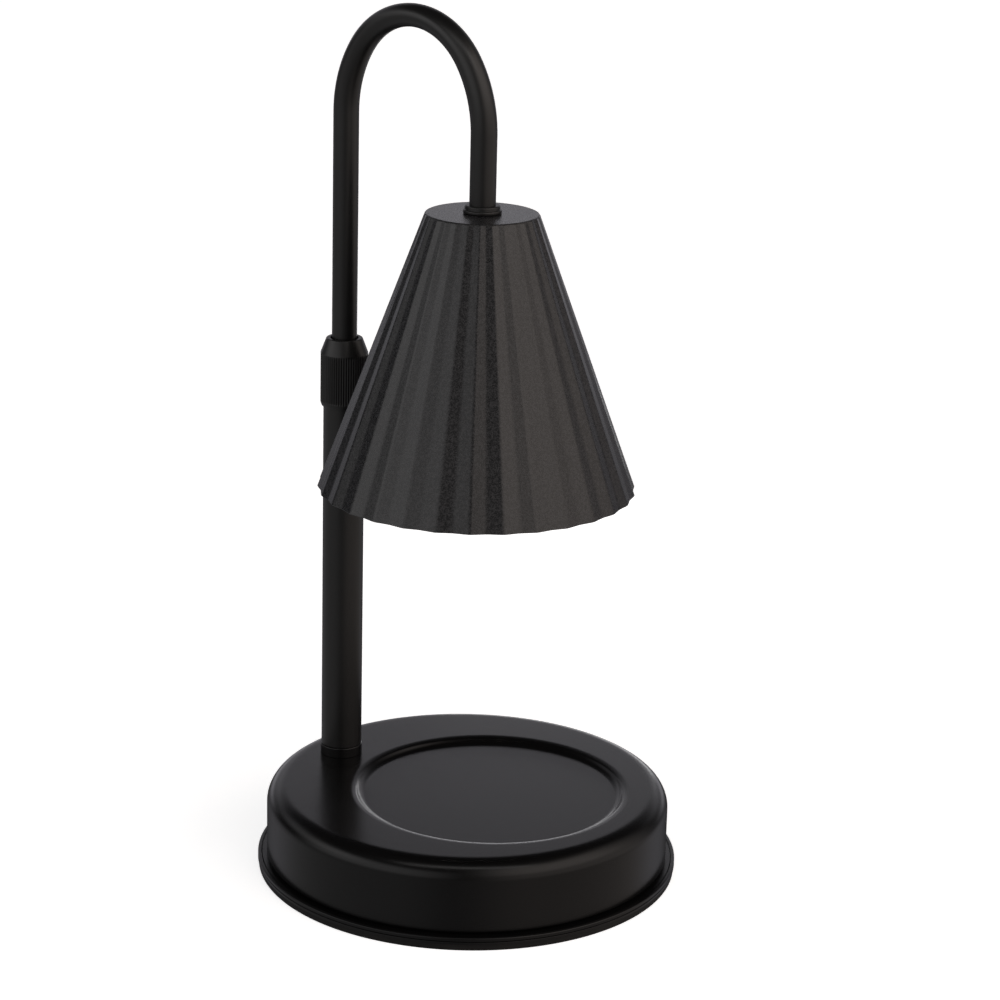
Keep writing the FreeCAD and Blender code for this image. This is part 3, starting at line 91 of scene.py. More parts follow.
# %% [markdown]
# ## Camera
# A long lens from about a metre away keeps the pole's edges nearly parallel, as in a catalogue picture. The
# camera stands in front of the lamp and to its right, looks down a little and is tipped by a degree and a
# half. Its matrix is three turns: about the vertical for its heading, about its own X for the tilt, and
# about its line of sight for the tip. The blur of distance stays off, because small products are shown sharp
# throughout.

# %% Place the camera
CAMERA_SPOT = (465.8, -810.9, 422.5)
HEADING, TILT, TIP = 29.338, -17.271, 1.405
SENSOR, LENS = 36.0, 104.86

scene = bpy.context.scene
camera = bpy.data.objects.new("camera", bpy.data.cameras.new("camera"))
scene.collection.objects.link(camera)
scene.camera = camera
camera.data.sensor_width = SENSOR
camera.data.lens = LENS
camera.data.clip_end = 100
camera.matrix_world = (
    Matrix.Translation(Vector(CAMERA_SPOT) * MM)
    @ Matrix.Rotation(math.radians(HEADING), 4, "Z")
    @ Matrix.Rotation(math.radians(90 + TILT), 4, "X")
    @ Matrix.Rotation(math.radians(TIP), 4, "Z")
)
print("camera at", CAMERA_SPOT, "mm")

# %% [markdown]
# ## From a grid of points to a mesh
# Nearly everything on this lamp is turned, spun or swept, so each surface is a function of two parameters: u
# goes round the piece and v goes along its outline. The function is worked out as one numpy array, and a
# mesh needs only quads between neighbouring points. Points that fall together on an axis are merged, and the
# normals are then made to face outwards, so each piece is a closed skin that could be printed.

# %% Skin a grid
MERGE = 1e-6
SHARP = math.radians(50)


def skin(name, points, along=True):
    """A mesh with quads between the neighbours of a grid. Its rows close on themselves, and with along its
    last row also joins its first."""
    rows, columns = points.shape[:2]
    index = np.arange(rows * columns).reshape(rows, columns)
    index = np.concatenate([index, index[:, :1]], axis=1)
    if along:
        index = np.concatenate([index, index[:1]])
    quads = np.stack([index[:-1, :-1], index[:-1, 1:], index[1:, 1:], index[1:, :-1]], axis=-1)
    mesh = bpy.data.meshes.new(name)
    mesh.from_pydata(points.reshape(-1, 3) * MM, [], quads.reshape(-1, 4))
    work = bmesh.new()
    work.from_mesh(mesh)
    bmesh.ops.remove_doubles(work, verts=work.verts, dist=MERGE)
    bmesh.ops.dissolve_degenerate(work, edges=work.edges, dist=MERGE)
    bmesh.ops.recalc_face_normals(work, faces=work.faces)
    work.to_mesh(mesh)
    work.free()
    piece = bpy.data.objects.new(name, mesh)
    scene.collection.objects.link(piece)
    return piece


print("a skin merges points within", MERGE / MM, "mm and creases at", round(math.degrees(SHARP)), "degrees")

# %% [markdown]
# ## Outlines with rounded corners
# Real edges are never perfectly sharp: a press, a lathe or a coat of powder leaves a small radius, and that
# radius is what catches the light. An outline is given as its corners, each with its own rounding, and the
# rounding is a true arc tangent to both sides. Rounding the outline is exact and cheap, where a bevel of the
# finished mesh would have to find the edges again.

# %% Round an outline
def rounded(spots, steps=6):
    """A closed outline as an array of (r, z). Each spot is (r, z) or (r, z, rounding). An arc's points are
    M + (A sin((1 - t)w) + B sin(tw)) / sin w, with M its centre, A and B its two radii and w the turn."""
    places = np.array([spot[:2] for spot in spots], float)
    line = []
    for spot, here, before, after in zip(spots, places, np.roll(places, 1, 0), np.roll(places, -1, 0)):
        if len(spot) == 2:
            line.append(here[None])
            continue
        back = (before - here) / np.linalg.norm(before - here)
        on = (after - here) / np.linalg.norm(after - here)
        half = math.acos(np.clip(back @ on, -1, 1)) / 2
        middle = here + (back + on) / np.linalg.norm(back + on) * spot[2] / math.sin(half)
        first = here + back * spot[2] / math.tan(half) - middle
        last = here + on * spot[2] / math.tan(half) - middle
        whole = math.pi - 2 * half
        t = np.linspace(0, 1, steps + 1)[:, None]
        line.append(middle + (np.sin((1 - t) * whole) * first + np.sin(t * whole) * last) / math.sin(whole))
    return np.concatenate(line)


def angles(columns):
    """Evenly spaced angles round a full turn."""
    return np.arange(columns) * 2 * math.pi / columns


def turned(name, outline, spot=(0, 0), columns=128, shift=0.0, ribs=0.0):
    """Carries an outline round an upright axis: P(u, v) = (x + s(v) + r cos u, y + r sin u, z(v)), where
    r = r(v) - ribs(v, u) and s(v) slides the circle along X. An outline off the axis is joined to itself."""
    u = angles(columns)
    r = outline[:, :1] - ribs
    across = spot[0] + np.reshape(shift, (-1, 1)) + r * np.cos(u)
    back = spot[1] + r * np.sin(u)
    height = outline[:, 1:] + 0 * u
    return skin(name, np.stack([across, back, height], axis=-1), along=outline[0, 0] > 0)


print("an outline's rounded corner has", len(rounded([(0, 0), (2, 0, 0.5), (2, 2), (0, 2)])) - 3, "points")

# %% [markdown]
# ## Cutting holes
# Screw holes and keyholes are drilled after a part is pressed or moulded, and here too they are cut last:
# tool shapes are taken out of the piece with the exact Boolean, and the result becomes the piece's own mesh.
# A hole needs no matching points in the piece, which is why it isn't worked into the grid.

# %% Cut and finish a piece
def cut(piece, tools):
    """Takes closed tool shapes out of a piece."""
    for tool in tools:
        knife = piece.modifiers.new("cut", "BOOLEAN")
        knife.object = tool
        knife.solver = "EXACT"
    done = bpy.data.meshes.new_from_object(piece.evaluated_get(bpy.context.evaluated_depsgraph_get()))
    piece.modifiers.clear()
    piece.data = done
    for tool in tools:
        bpy.data.objects.remove(tool)


def fit(piece, body, slot, material, *nodes):
    """Smooths a piece, gives it its material, and lets it ride on its body in place of its nodes."""
    piece.data.shade_smooth()
    piece.data.set_sharp_from_angle(angle=SHARP)
    even = piece.modifiers.new("even_normals", "WEIGHTED_NORMAL")
    even.keep_sharp = True
    piece.data.materials.clear()
    piece.data.materials.append(material)
    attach(piece, body)
    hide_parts(*nodes)
    print(piece.name, "has", len(piece.data.polygons), "faces")


print("ready to cut and fit pieces")

# %% [markdown]
# ## Writing shaders as sums
# A material is a network of nodes, and long networks are hard to read. Here one small class wraps a node's
# output, so that 1 - mask or noise * 0.3 adds the Math nodes by itself. Every other node comes from one
# method: it takes the node's type, then its settings, then a value or a wire for each socket.

# %% Wires that add up
class Wire:
    """An output of a node. Arithmetic on wires and numbers adds Math nodes."""

    def __init__(self, tree, socket=None):
        self.tree = tree
        self.socket = socket

    def node(self, kind, output=0, settings=None, sockets=None):
        """Adds a node and returns one of its outputs. A socket takes a value or a wire."""
        made = self.tree.nodes.new("ShaderNode" + kind)
        for name, value in (settings or {}).items():
            setattr(made, name, value)
        for name, value in (sockets or {}).items():
            if isinstance(value, Wire):
                self.tree.links.new(value.socket, made.inputs[name])
            else:
                made.inputs[name].default_value = value
        return Wire(self.tree, made.outputs[output] if len(made.outputs) else None)

    def maths(self, operation, one, two):
        """A Math node on two wires or numbers."""
        return self.node("Math", settings={"operation": operation}, sockets={0: one, 1: two})

    def __add__(self, other):
        return self.maths("ADD", self, other)

    def __sub__(self, other):
        return self.maths("SUBTRACT", self, other)

    def __rsub__(self, other):
        return self.maths("SUBTRACT", other, self)

    def __mul__(self, other):
        return self.maths("MULTIPLY", self, other)

    __radd__ = __add__
    __rmul__ = __mul__

    def noise(self, size, detail=2.0, stretch=(1, 1, 1)):
        """Noise whose lumps are about size millimetres across, drawn out by stretch."""
        place = self.node("TexCoord", "Object")
        spread = self.node("Mapping", sockets={"Vector": place, "Scale": tuple(1 / s for s in stretch)})
        sockets = {"Vector": spread, "Scale": 1 / (size * MM), "Detail": detail}
        return self.node("TexNoise", "Fac", sockets=sockets)

    def step(self, low, high):
        """0 below low, 1 above high, and a soft step between them."""
        sockets = {"Value": self, "From Min": low, "From Max": high}
        return self.node("MapRange", settings={"interpolation_type": "SMOOTHSTEP"}, sockets=sockets)

    def between(self, one, two):
        """A colour that goes from one to two as this wire goes from 0 to 1."""
        colours = {0: self, 6: (*one, 1), 7: (*two, 1)}
        return self.node("Mix", 2, settings={"data_type": "RGBA"}, sockets=colours)

    def bump(self, depth, normal=None):
        """A normal from this wire taken as a height of depth millimetres."""
        sockets = {"Height": self, "Distance": depth * MM}
        if normal:
            sockets["Normal"] = normal
        return self.node("Bump", "Normal", sockets=sockets)


def finish(name, recipe, **constants):
    """A material whose recipe, a function of an empty wire, gives the sockets that vary over the surface."""
    material = bpy.data.materials.new(name)
    material.use_nodes = True
    material.node_tree.nodes.clear()
    start = Wire(material.node_tree)
    plain = {key.replace("_", " "): value for key, value in constants.items()}
    shader = start.node("BsdfPrincipled", sockets={**plain, **recipe(start)})
    start.node("OutputMaterial", sockets={"Surface": shader})
    return material


print("shader wires ready")

# %% [markdown]
# ## Black powder coat
# Base, pole, collar and gooseneck are steel with a satin black powder coat. Powder melts into a film with a
# faint orange peel a few millimetres across and a finer grain on top, and its gloss wanders a little. The
# colour is nearly even, so gloss and bump carry the finish. The coat's reflection is weaker than bare
# plastic's, because fine matting agents in the powder scatter it. The tubes and the collar have a more matt
# and paler powder than the base, which spreads each light into a broad soft band along them.

# %% Satin black
PEEL_SIZE, PEEL_DEPTH, GRAIN_SIZE = 2.6, 0.003, 0.45


def powder(dark, light, gloss, grain):
    """A recipe for powder coat: colours, roughness and the depth of its grain."""

    def recipe(start):
        cloud = start.noise(28)
        film = start.noise(PEEL_SIZE)
        speck = start.noise(GRAIN_SIZE, detail=3)
        return {
            "Base Color": (cloud * 0.5 + speck * 0.5).step(0.3, 0.7).between(dark, light),
            "Roughness": gloss + (film - 0.5) * 0.06 + (cloud - 0.5) * 0.05,
            "Normal": speck.bump(grain, film.bump(PEEL_DEPTH)),
        }

    return recipe


satin_black = finish(
    "satin_black_powder",
    powder((0.0030, 0.0029, 0.0030), (0.0044, 0.0042, 0.0043), 0.235, 0.0007),
    Specular_IOR_Level=0.27,
)
tube_black = finish(
    "matt_black_powder",
    powder((0.0045, 0.0043, 0.0043), (0.0070, 0.0067, 0.0066), 0.36, 0.0015),
    Specular_IOR_Level=0.45,
)
print("made", satin_black.name, "and", tube_black.name)

# %% [markdown]
# ## Textured shade paint
# The shade has a sandy powder coat: grains under half a millimetre across stand out of it, charcoal rather
# than black. Two sizes of noise make the grain uneven, as a sprayed texture is. The grains' tops are painted
# lighter and the hollows darker: a painted highlight and painted shade that stand in for the grain's own
# light and shade. The tops are also a little more matt than the hollows, where the paint runs together and
# dries smoother.

# %% Sand texture
# colours for the painted shade in the grain's hollows and the painted highlight on its tops
SAND_SHADED_HOLLOW, SAND_LIT_TOP, SAND_DEPTH = (0.0062, 0.0062, 0.0068), (0.0306, 0.0300, 0.0318), 0.030


def sand(start):
    """The recipe for the shade's paint."""
    cloud = start.noise(35)
    lumps = start.noise(1.1, detail=2)
    grains = start.noise(0.45, detail=3)
    height = lumps * 0.3 + grains * 0.7
    return {
        # painted light and shade: the grain's tops are coloured lighter and its hollows darker, following
        # the bump height
        "Base Color": height.step(0.40, 0.62).between(SAND_SHADED_HOLLOW, SAND_LIT_TOP),
        "Roughness": 0.28 + (cloud - 0.5) * 0.06 + (height - 0.5) * 0.25,
        "Normal": height.bump(SAND_DEPTH),
    }


charcoal_sand = finish("charcoal_sand_powder", sand, Specular_IOR_Level=0.44)
print("made", charcoal_sand.name)

# %% [markdown]
# ## Rubber and plastics
# The pad under the base is moulded rubber, matt, with a fine grain. The cord's bushing is black nylon with
# the light texture of an eroded mould. The terminal block and the guide bush are plain engineering plastic.
# One recipe serves all of them, with its own colours, gloss and grain.

# %% Moulded finishes
def moulded(dark, light, gloss, grain_size, grain):
    """A recipe for rubber and plastic: colours, roughness, and the size and depth of the mould's grain."""

    def recipe(start):
        cloud = start.noise(9)
        speck = start.noise(grain_size, detail=3)
        return {
            "Base Color": (cloud * 0.6 + speck * 0.4).step(0.3, 0.7).between(dark, light),
            "Roughness": gloss + (speck - 0.5) * 0.12,
            "Normal": speck.bump(grain),
        }

    return recipe


rubber = finish(
    "black_rubber_moulded",
    moulded((0.009, 0.0088, 0.0086), (0.014, 0.0135, 0.013), 0.62, 0.5, 0.02),
    Specular_IOR_Level=0.15,
)
nylon = finish("black_nylon", moulded((0.010, 0.010, 0.011), (0.016, 0.016, 0.017), 0.42, 0.35, 0.012))
block_plastic = finish(
    "white_block_plastic", moulded((0.62, 0.61, 0.57), (0.72, 0.71, 0.68), 0.45, 0.6, 0.01)
)
bush_plastic = finish("natural_nylon", moulded((0.58, 0.55, 0.47), (0.68, 0.65, 0.57), 0.38, 0.5, 0.008))
print("made 4 moulded finishes")

# %% [markdown]
# ## Bare metals
# Inside the lamp are zinc-plated steel, a cast iron weight and brass. Plating shows slow clouds of tone and
# fine turning lines round each part, so one noise is drawn out level and the other isn't. The casting is
# coarse and dull, and it is skinned with grit from its sand mould.

# %% Metals
def plated(dark, light, gloss, lines):
    """A recipe for turned and plated metal: colours, roughness and the depth of its level lines."""

    def recipe(start):
        cloud = start.noise(6)
        turning = start.noise(0.25, detail=1, stretch=(40, 40, 1))
        return {
            "Base Color": cloud.step(0.3, 0.7).between(dark, light),
            "Roughness": gloss + (cloud - 0.5) * 0.15 + (turning - 0.5) * 0.1,
            "Normal": turning.bump(lines),
        }

    return recipe


def casting(start):
    """The recipe for the sand-cast weight."""
    lumps = start.noise(2.2, detail=4)
    grit = start.noise(0.6, detail=2)
    return {
        "Base Color": lumps.step(0.35, 0.65).between((0.045, 0.043, 0.042), (0.085, 0.080, 0.076)),
        "Roughness": 0.62 + (grit - 0.5) * 0.2,
        "Normal": grit.bump(0.12, lumps.bump(0.2)),
    }


zinc = finish("zinc_plated_steel", plated((0.50, 0.50, 0.51), (0.66, 0.66, 0.65), 0.34, 0.006), Metallic=1.0)
black_zinc = finish(
    "blackened_steel",
    plated((0.020, 0.020, 0.021), (0.045, 0.045, 0.046), 0.40, 0.006),
    Metallic=0.6,
)
brass = finish("brass", plated((0.66, 0.46, 0.19), (0.82, 0.61, 0.28), 0.28, 0.005), Metallic=1.0)
iron = finish("cast_iron", casting, Metallic=0.55)
print("made 4 metals")

# %% [markdown]
# ## Ceramic, glass and the lead's sleeve
# The lampholder and the bulb's foot are unglazed ceramic, cream with darker specks. The bulb's bowl is glass
# with a mirror film inside, its front is a clear disc, and the lead is covered by a woven glass-fibre
# sleeve. The sleeve's two sets of threads are two waves that lean opposite ways, and their sum gives the
# crossings.

# %% Ceramic, glass, sleeve
CREAM, SPECK = (0.80, 0.78, 0.71), (0.52, 0.48, 0.41)
THREAD_LEAN, THREAD_SCALE = 0.9, 0.55


def ceramic_recipe(start):
    """Cream with darker specks."""
    specks = start.noise(0.7, detail=2)
    body = start.noise(5)
    return {
        "Base Color": (specks.step(0.60, 0.72) * 0.6 + body * 0.4).between(CREAM, SPECK),
        "Roughness": 0.46 + (body - 0.5) * 0.12,
        "Normal": specks.bump(0.02),
    }


def mirror_recipe(start):
    """A mirror film that is a little uneven."""
    film = start.noise(3.0)
    return {
        "Base Color": film.step(0.3, 0.7).between((0.86, 0.86, 0.84), (0.93, 0.93, 0.92)),
        "Roughness": 0.10 + film * 0.06,
        "Normal": film.bump(0.01),
    }


def glass_recipe(start):
    """Clear glass with a faint wave."""
    wave = start.noise(5.0)
    return {"Roughness": wave * 0.03, "Normal": wave.bump(0.004)}


def sleeve_recipe(start):
    """A weave as the sum of two leaning waves."""
    place = start.node("TexCoord", "Object")
    threads = []
    for lean in (THREAD_LEAN, -THREAD_LEAN):
        turned_place = start.node("Mapping", sockets={"Vector": place, "Rotation": (0, lean, 0)})
        sockets = {"Vector": turned_place, "Scale": THREAD_SCALE / MM, "Distortion": 0.4}
        threads.append(start.node("TexWave", "Fac", sockets=sockets))
    weave = (threads[0] + threads[1]) * 0.5
    return {
        "Base Color": weave.between((0.42, 0.40, 0.34), (0.72, 0.69, 0.61)),
        "Roughness": 0.75 - weave * 0.15,
        "Normal": weave.bump(0.12),
    }


ceramic = finish("unglazed_ceramic", ceramic_recipe)
mirror = finish("mirror_film", mirror_recipe, Metallic=1.0)
glass = finish("clear_glass", glass_recipe, Base_Color=(1, 1, 1, 1), Transmission_Weight=1.0, IOR=1.47)
sleeve = finish("glass_fibre_sleeve", sleeve_recipe)
print("made ceramic, mirror, glass and sleeve")

# %% [markdown]
# ## Finishes for the pieces kept from the frame
# Nuts, screws, washers and the wiring inside have the right shape in the frame already, so they keep their
# meshes and only get a finish. The record names a material slot for each of them, and one table turns slots
# into finishes.

# %% Dress the frame's own pieces
FINISHES = {
    "black_paint": satin_black,
    "shade_paint": charcoal_sand,
    "black_rubber": rubber,
    "cast_iron": iron,
    "plain_steel": zinc,
    "black_steel": black_zinc,
    "black_plastic": nylon,
    "block_plastic": block_plastic,
    "bush_plastic": bush_plastic,
    "brass": brass,
    "white_ceramic": ceramic,
    "lead_sleeve": sleeve,
    "mirror_glass": mirror,
    "clear_glass": glass,
}
for row in frame["record"]["subparts"]:
    dressed = frame["nodes"][row["node"]]
    dressed.data.materials.clear()
    dressed.data.materials.append(FINISHES[row["material_slot"]])

# %% [markdown]
# ## Base shell
# The base is a steel cap drawn in a press: a straight wall, a rounded shoulder, and a flat top with a
# shallow seat for the jar, off centre so that the pole has room. The whole skin can be one surface if its
# rings are allowed to slide: they start round the seat's centre, drift to the base's centre across the flat,
# and go over the shoulder and down the wall, whose last millimetre draws in and leaves a dark reveal over
# the tray. The seat's edge has two slopes, a shallow lead-in and a steep step, and the lead-in is the bright
# line on the side near the eye. The inside follows in the same way, one sheet thickness in. Modelling the
# seat as rings, and not as a separate dish cut into the top, keeps its edge perfectly even all round.

# %% Base shell
SHEET, SHOULDER = 1.2, 6.4
CURL, REVEAL = 1.1, 0.9
SEAT_SHIFT, SEAT_TOP, SEAT_FLOOR, SEAT_DEPTH = 8.75, 47.6, 44.6, 1.95
LEAD_IN, LEAD_DROP = 1.4, 0.3
SEAT_LAND, FLAT_LAND = 3.0, 1.0
SHELL_COLUMNS = 256

shell_low, shell_high = corners("base_shell")
shell_radius, shell_foot, shell_top = shell_high[0], shell_low[2], shell_high[2]
seat_floor = shell_top - SEAT_DEPTH
flat_radius = shell_radius - SHOULDER - FLAT_LAND
ceiling = shell_top - SHEET


def seat(drop, floor_bend, brow_bend, lip_bend):
    """The seat's outline from its middle out to the flat, drop millimetres under the visible side."""
    low, high = seat_floor - drop, shell_top - drop
    spots = [
        (0, low),
        (SEAT_FLOOR * 0.5, low),
        (SEAT_FLOOR, low, floor_bend),
        (SEAT_TOP - LEAD_IN, high - LEAD_DROP, brow_bend),
        (SEAT_TOP, high, lip_bend),
        (SEAT_TOP + SEAT_LAND, high),
    ]
    return rounded(spots, steps=8)


visible_seat = seat(drop=0, floor_bend=3.2, brow_bend=1.5, lip_bend=9.0)
hidden_seat = seat(drop=SHEET, floor_bend=2.2, brow_bend=1.2, lip_bend=3.0)[::-1]
wall = rounded([
    (flat_radius, shell_top),
    (shell_radius, shell_top, SHOULDER),
    (shell_radius, shell_foot + CURL, 0.25),
    (shell_radius - REVEAL, shell_foot, 0.1),
    (shell_radius - SHEET, shell_foot),
    (shell_radius - SHEET, ceiling, SHOULDER - SHEET),
    (flat_radius, ceiling),
], steps=14)
shell_outline = np.concatenate([visible_seat, wall, hidden_seat])
slide = np.repeat([SEAT_SHIFT, 0, SEAT_SHIFT], [len(visible_seat), len(wall), len(hidden_seat)])
shell = turned("shell_pressed", shell_outline, columns=SHELL_COLUMNS, shift=slide)
print("seat", 2 * SEAT_TOP, "mm across, shell", 2 * shell_radius, "mm")

# %% [markdown]
# Two holes go through the shell: one under the pole's foot for the threaded nipple, and one in the back wall
# for the cord's bushing. Their tools are short rods, one upright and one turned level. Every tool stands a
# millimetre out of what it cuts, because a Boolean can fail where two faces lie in one plane.

# %% Holes in the shell
BEYOND = 1.0
TOOL_COLUMNS = 48


def rod(name, radius, low, high, spot=(0, 0), level=None):
    """A closed rod from low to high: upright at a spot, or along -X at a level."""
    outline = np.array([(0, low), (radius, low), (radius, high), (0, high)], float)
    piece = turned(name, outline, spot, TOOL_COLUMNS)
    if level is not None:
        piece.data.transform(Matrix.Translation((0, 0, level * MM)) @ Matrix.Rotation(-math.pi / 2, 4, "Y"))
    return piece


INLET_LEVEL, INLET_HOLE = 14.0, 4.05
NIPPLE_HOLE, HOLE_DEPTH = 5.14, 3.0
cut(
    shell,
    [
        rod("nipple_tool", NIPPLE_HOLE, shell_top - HOLE_DEPTH, shell_top + BEYOND, pole),
        rod("inlet_tool", INLET_HOLE, shell_radius - HOLE_DEPTH, shell_radius + BEYOND, level=INLET_LEVEL),
    ],
)
fit(shell, "base", "black_paint", satin_black, "base_shell")

# %% [markdown]
# ## Tray and pad
# A flat tray closes the base and stands out round the shell as a ledge. The ledge's outer edge is rolled
# into a low bead that catches one thin line of light, and a fine groove below it marks where the roll ends.
# A rubber pad is glued under the tray, flush with its edge. Three countersunk screws hold the tray, and the
# pad has a hole under each. Both are turned outlines with the holes cut out afterwards.

# %% Tray
SCREW_CIRCLE, SCREW_HEAD, SCREW_HOLE = 60.0, 4.2, 2.3
THIRDS = np.radians([0, 120, 240])
REGISTER_IN, REGISTER_OUT = 66.7, 67.9
GROOVE_LEVEL, GROOVE_HALF, GROOVE_DEPTH = 3.2, 0.2, 0.35
BEAD, BEAD_WIDTH, BEAD_FOOT, BEAD_ROUND = 0.3, 1.1, 1.5, 0.45
FAN_RADIUS = 50.0

tray_low, tray_high = corners("base_tray")
tray_radius, tray_under, register_top = tray_high[0], tray_low[2], tray_high[2]
tray_top = shell_foot
tray_outline = [
    (0, tray_under),
    (FAN_RADIUS, tray_under),
    (tray_radius, tray_under, 0.1),
    (tray_radius, GROOVE_LEVEL - GROOVE_HALF, 0.12),
    (tray_radius - GROOVE_DEPTH, GROOVE_LEVEL),
    (tray_radius, GROOVE_LEVEL + GROOVE_HALF, 0.12),
    (tray_radius, tray_top + BEAD, BEAD_ROUND),
    (tray_radius - BEAD_WIDTH, tray_top + BEAD, BEAD_ROUND),
    (tray_radius - BEAD_FOOT, tray_top, 0.1),
    (REGISTER_OUT, tray_top),
    (REGISTER_OUT, register_top),
    (REGISTER_IN, register_top),
    (REGISTER_IN, tray_top),
    (FAN_RADIUS, tray_top),
    (0, tray_top),
]
tray = turned("tray_rolled", rounded(tray_outline), columns=SHELL_COLUMNS)
screw_spots = [SCREW_CIRCLE * np.array([math.cos(bearing), math.sin(bearing)]) for bearing in THIRDS]
sink_outline = np.array([
    (0, tray_under - BEYOND),
    (SCREW_HEAD, tray_under - BEYOND),
    (SCREW_HEAD, tray_under),
    (SCREW_HOLE, tray_under + (SCREW_HEAD - SCREW_HOLE)),
    (SCREW_HOLE, tray_top + BEYOND),
    (0, tray_top + BEYOND),
])
sinks = []
for number, spot in enumerate(screw_spots):
    sinks.append(turned(f"sink_{number}", sink_outline, spot, TOOL_COLUMNS))
cut(tray, sinks)
fit(tray, "base", "black_paint", satin_black, "base_tray")

# %% Pad
PAD_HOLE, PAD_ROUND = 4.6, 0.5

pad_high = corners("anti_slip_pad")[1]
pad_radius, pad_top = pad_high[0], pad_high[2]
pad_outline = [
    (0, 0),
    (FAN_RADIUS, 0),
    (pad_radius, 0, PAD_ROUND),
    (pad_radius, pad_top, 0.1),
    (FAN_RADIUS, pad_top),
    (0, pad_top),
]
pad = turned("pad_rubber", rounded(pad_outline), columns=SHELL_COLUMNS)
holes = []
for number, spot in enumerate(screw_spots):
    holes.append(rod(f"access_{number}", PAD_HOLE, -BEYOND, pad_top + BEYOND, spot))
cut(pad, holes)
fit(pad, "base", "black_rubber", rubber, "anti_slip_pad")

# %% [markdown]
# ## Pole
# The pole stands in a short turned ring with a softened upper edge, which shows as one fine bright line.
# Above it the lower tube is plain drawn tube, open at both ends, and its wall is part of the outline so that
# the bore is real.

# %% Foot ring and lower tube
TUBE_RADIUS, TUBE_BORE = 7.05, 5.98
RING_INSET = 0.2

ring_least, ring_most = corners("pole_foot_ring")
ring_low, ring_high = ring_least[2], ring_most[2]
ring_radius = (ring_most[0] - ring_least[0]) / 2 - RING_INSET
foot_ring_outline = [
    (NIPPLE_HOLE, ring_low),
    (ring_radius, ring_low, 0.15),
    (ring_radius, ring_high, 0.45),
    (NIPPLE_HOLE, ring_high),
]
foot_ring = turned("foot_ring_turned", rounded(foot_ring_outline), pole)
fit(foot_ring, "base", "black_paint", satin_black, "pole_foot_ring")

tube_low, tube_high = levels("lower_tube")
lower_tube_outline = [
    (TUBE_BORE, tube_low),
    (TUBE_RADIUS, tube_low, 0.25),
    (TUBE_RADIUS, tube_high, 0.25),
    (TUBE_BORE, tube_high),
]
lower_tube = turned("lower_tube_drawn", rounded(lower_tube_outline), pole, columns=96)
fit(lower_tube, "base", "black_paint", tube_black, "lower_tube")

# %% [markdown]
# ## Lock collar
# The collar clamps the gooseneck when it is turned by hand. Its skirt is knurled with fine upright ribs, and
# over the ribs it closes in a smooth cone with a rounded lip. The ribs are part of the surface: a wave round
# the collar takes a quarter of a millimetre off the radius between them, and fades out at both ends of the
# skirt. Inside, a conical throat presses on the collet, and the skirt's wider bore goes over the end of the
# tube.

# %% Lock collar
COLLAR_RADIUS, COLLAR_SKIRT, COLLAR_LIP, COLLAR_BORE = 8.1, 7.15, 6.15, 4.75
COLLAR_FOOT, COLLAR_CONE = 1.3, 5.1
FOOT_BORE, FOOT_EDGE, FOOT_RISE = 7.25, 7.65, 1.0
THROAT_DROP, THROAT_TOP, THROAT_FOOT, THROAT_END, SHELF = 1.2, 5.35, 6.3, 6.6, 1.5
RIBS, RIB_DEPTH, RIB_COLUMNS = 60, 0.24, 8

collar_low, collar_high = levels("lock_collar")
knurl_low, knurl_high = collar_low + COLLAR_FOOT, collar_high - COLLAR_CONE
knurl_shares = np.array([0, 0.35, 0.7, 5, 10, 15, 15.6, 16]) / 16
knurl_levels = knurl_low + knurl_shares * (knurl_high - knurl_low)
knurl_depth = np.array([0, 0.6, 1, 1, 1, 1, 0.6, 0]) * RIB_DEPTH
skirt = np.stack([0 * knurl_levels + COLLAR_RADIUS, knurl_levels], axis=-1)
collar_foot = rounded([
    (FOOT_BORE, collar_low + FOOT_RISE),
    (FOOT_BORE, collar_low),
    (FOOT_EDGE, collar_low, 0.15),
    (COLLAR_RADIUS, knurl_low),
])[:-1]
collar_top = rounded([
    (COLLAR_RADIUS, knurl_high),
    (COLLAR_LIP, collar_high, 0.4),
    (COLLAR_BORE, collar_high, 0.3),
    (COLLAR_BORE, collar_high - THROAT_DROP),
    (THROAT_TOP, collar_high - THROAT_DROP),
    (THROAT_FOOT, collar_high - THROAT_END),
    (THROAT_FOOT, tube_high + SHELF),
    (COLLAR_SKIRT, tube_high + SHELF),
    (COLLAR_SKIRT, collar_low + FOOT_RISE),
])[1:]
collar_outline = np.concatenate([collar_foot, skirt, collar_top])
wave = 0.5 - 0.5 * np.cos(np.arange(RIBS * RIB_COLUMNS) * 2 * math.pi / RIB_COLUMNS)
depth = np.zeros(len(collar_outline))
depth[len(collar_foot):len(collar_foot) + len(skirt)] = knurl_depth
collar = turned("collar_knurled", collar_outline, pole, RIBS * RIB_COLUMNS, ribs=depth[:, None] * wave)
fit(collar, "collar", "black_paint", tube_black, "lock_collar")

# %% [markdown]
# ## Gooseneck
# The arm is a thin steel tube bent over a former. Its centre line climbs the pole, goes over three arcs that
# meet smoothly, a tighter crown between two wider flanks, and comes straight down to the shade. At each
# station v the tube is a circle: C(v) + r (cos u N(v) + sin u B), with N pointing out of the bend and B
# across it. Bending flattens a tube a little in the bend's plane, so N is shortened by an eighth at the
# crown. Going out along the outer radius and back along the inner one gives the tube its wall in one
# surface.

# %% Gooseneck
NECK_RADIUS, NECK_WALL, FLATTENED, NECK_COLUMNS = 4.3, 0.8, 0.12, 64
STRAIGHT_MIDDLE, BEND_SPRING, CROWN, FLANK, NECK_END = 180.0, 257.67, 28.86, 39.5, 224.38

neck_low = levels("upper_tube")[0]
rise = math.sqrt((FLANK - CROWN) ** 2 - (FLANK - arm_reach / 2) ** 2)
lean = math.atan2(rise, FLANK - arm_reach / 2)
left_turn = np.linspace(math.pi, math.pi - lean, 13)[:-1]
crown_turn = np.linspace(math.pi - lean, lean, 49)[:-1]
right_turn = np.linspace(lean, 0, 13)


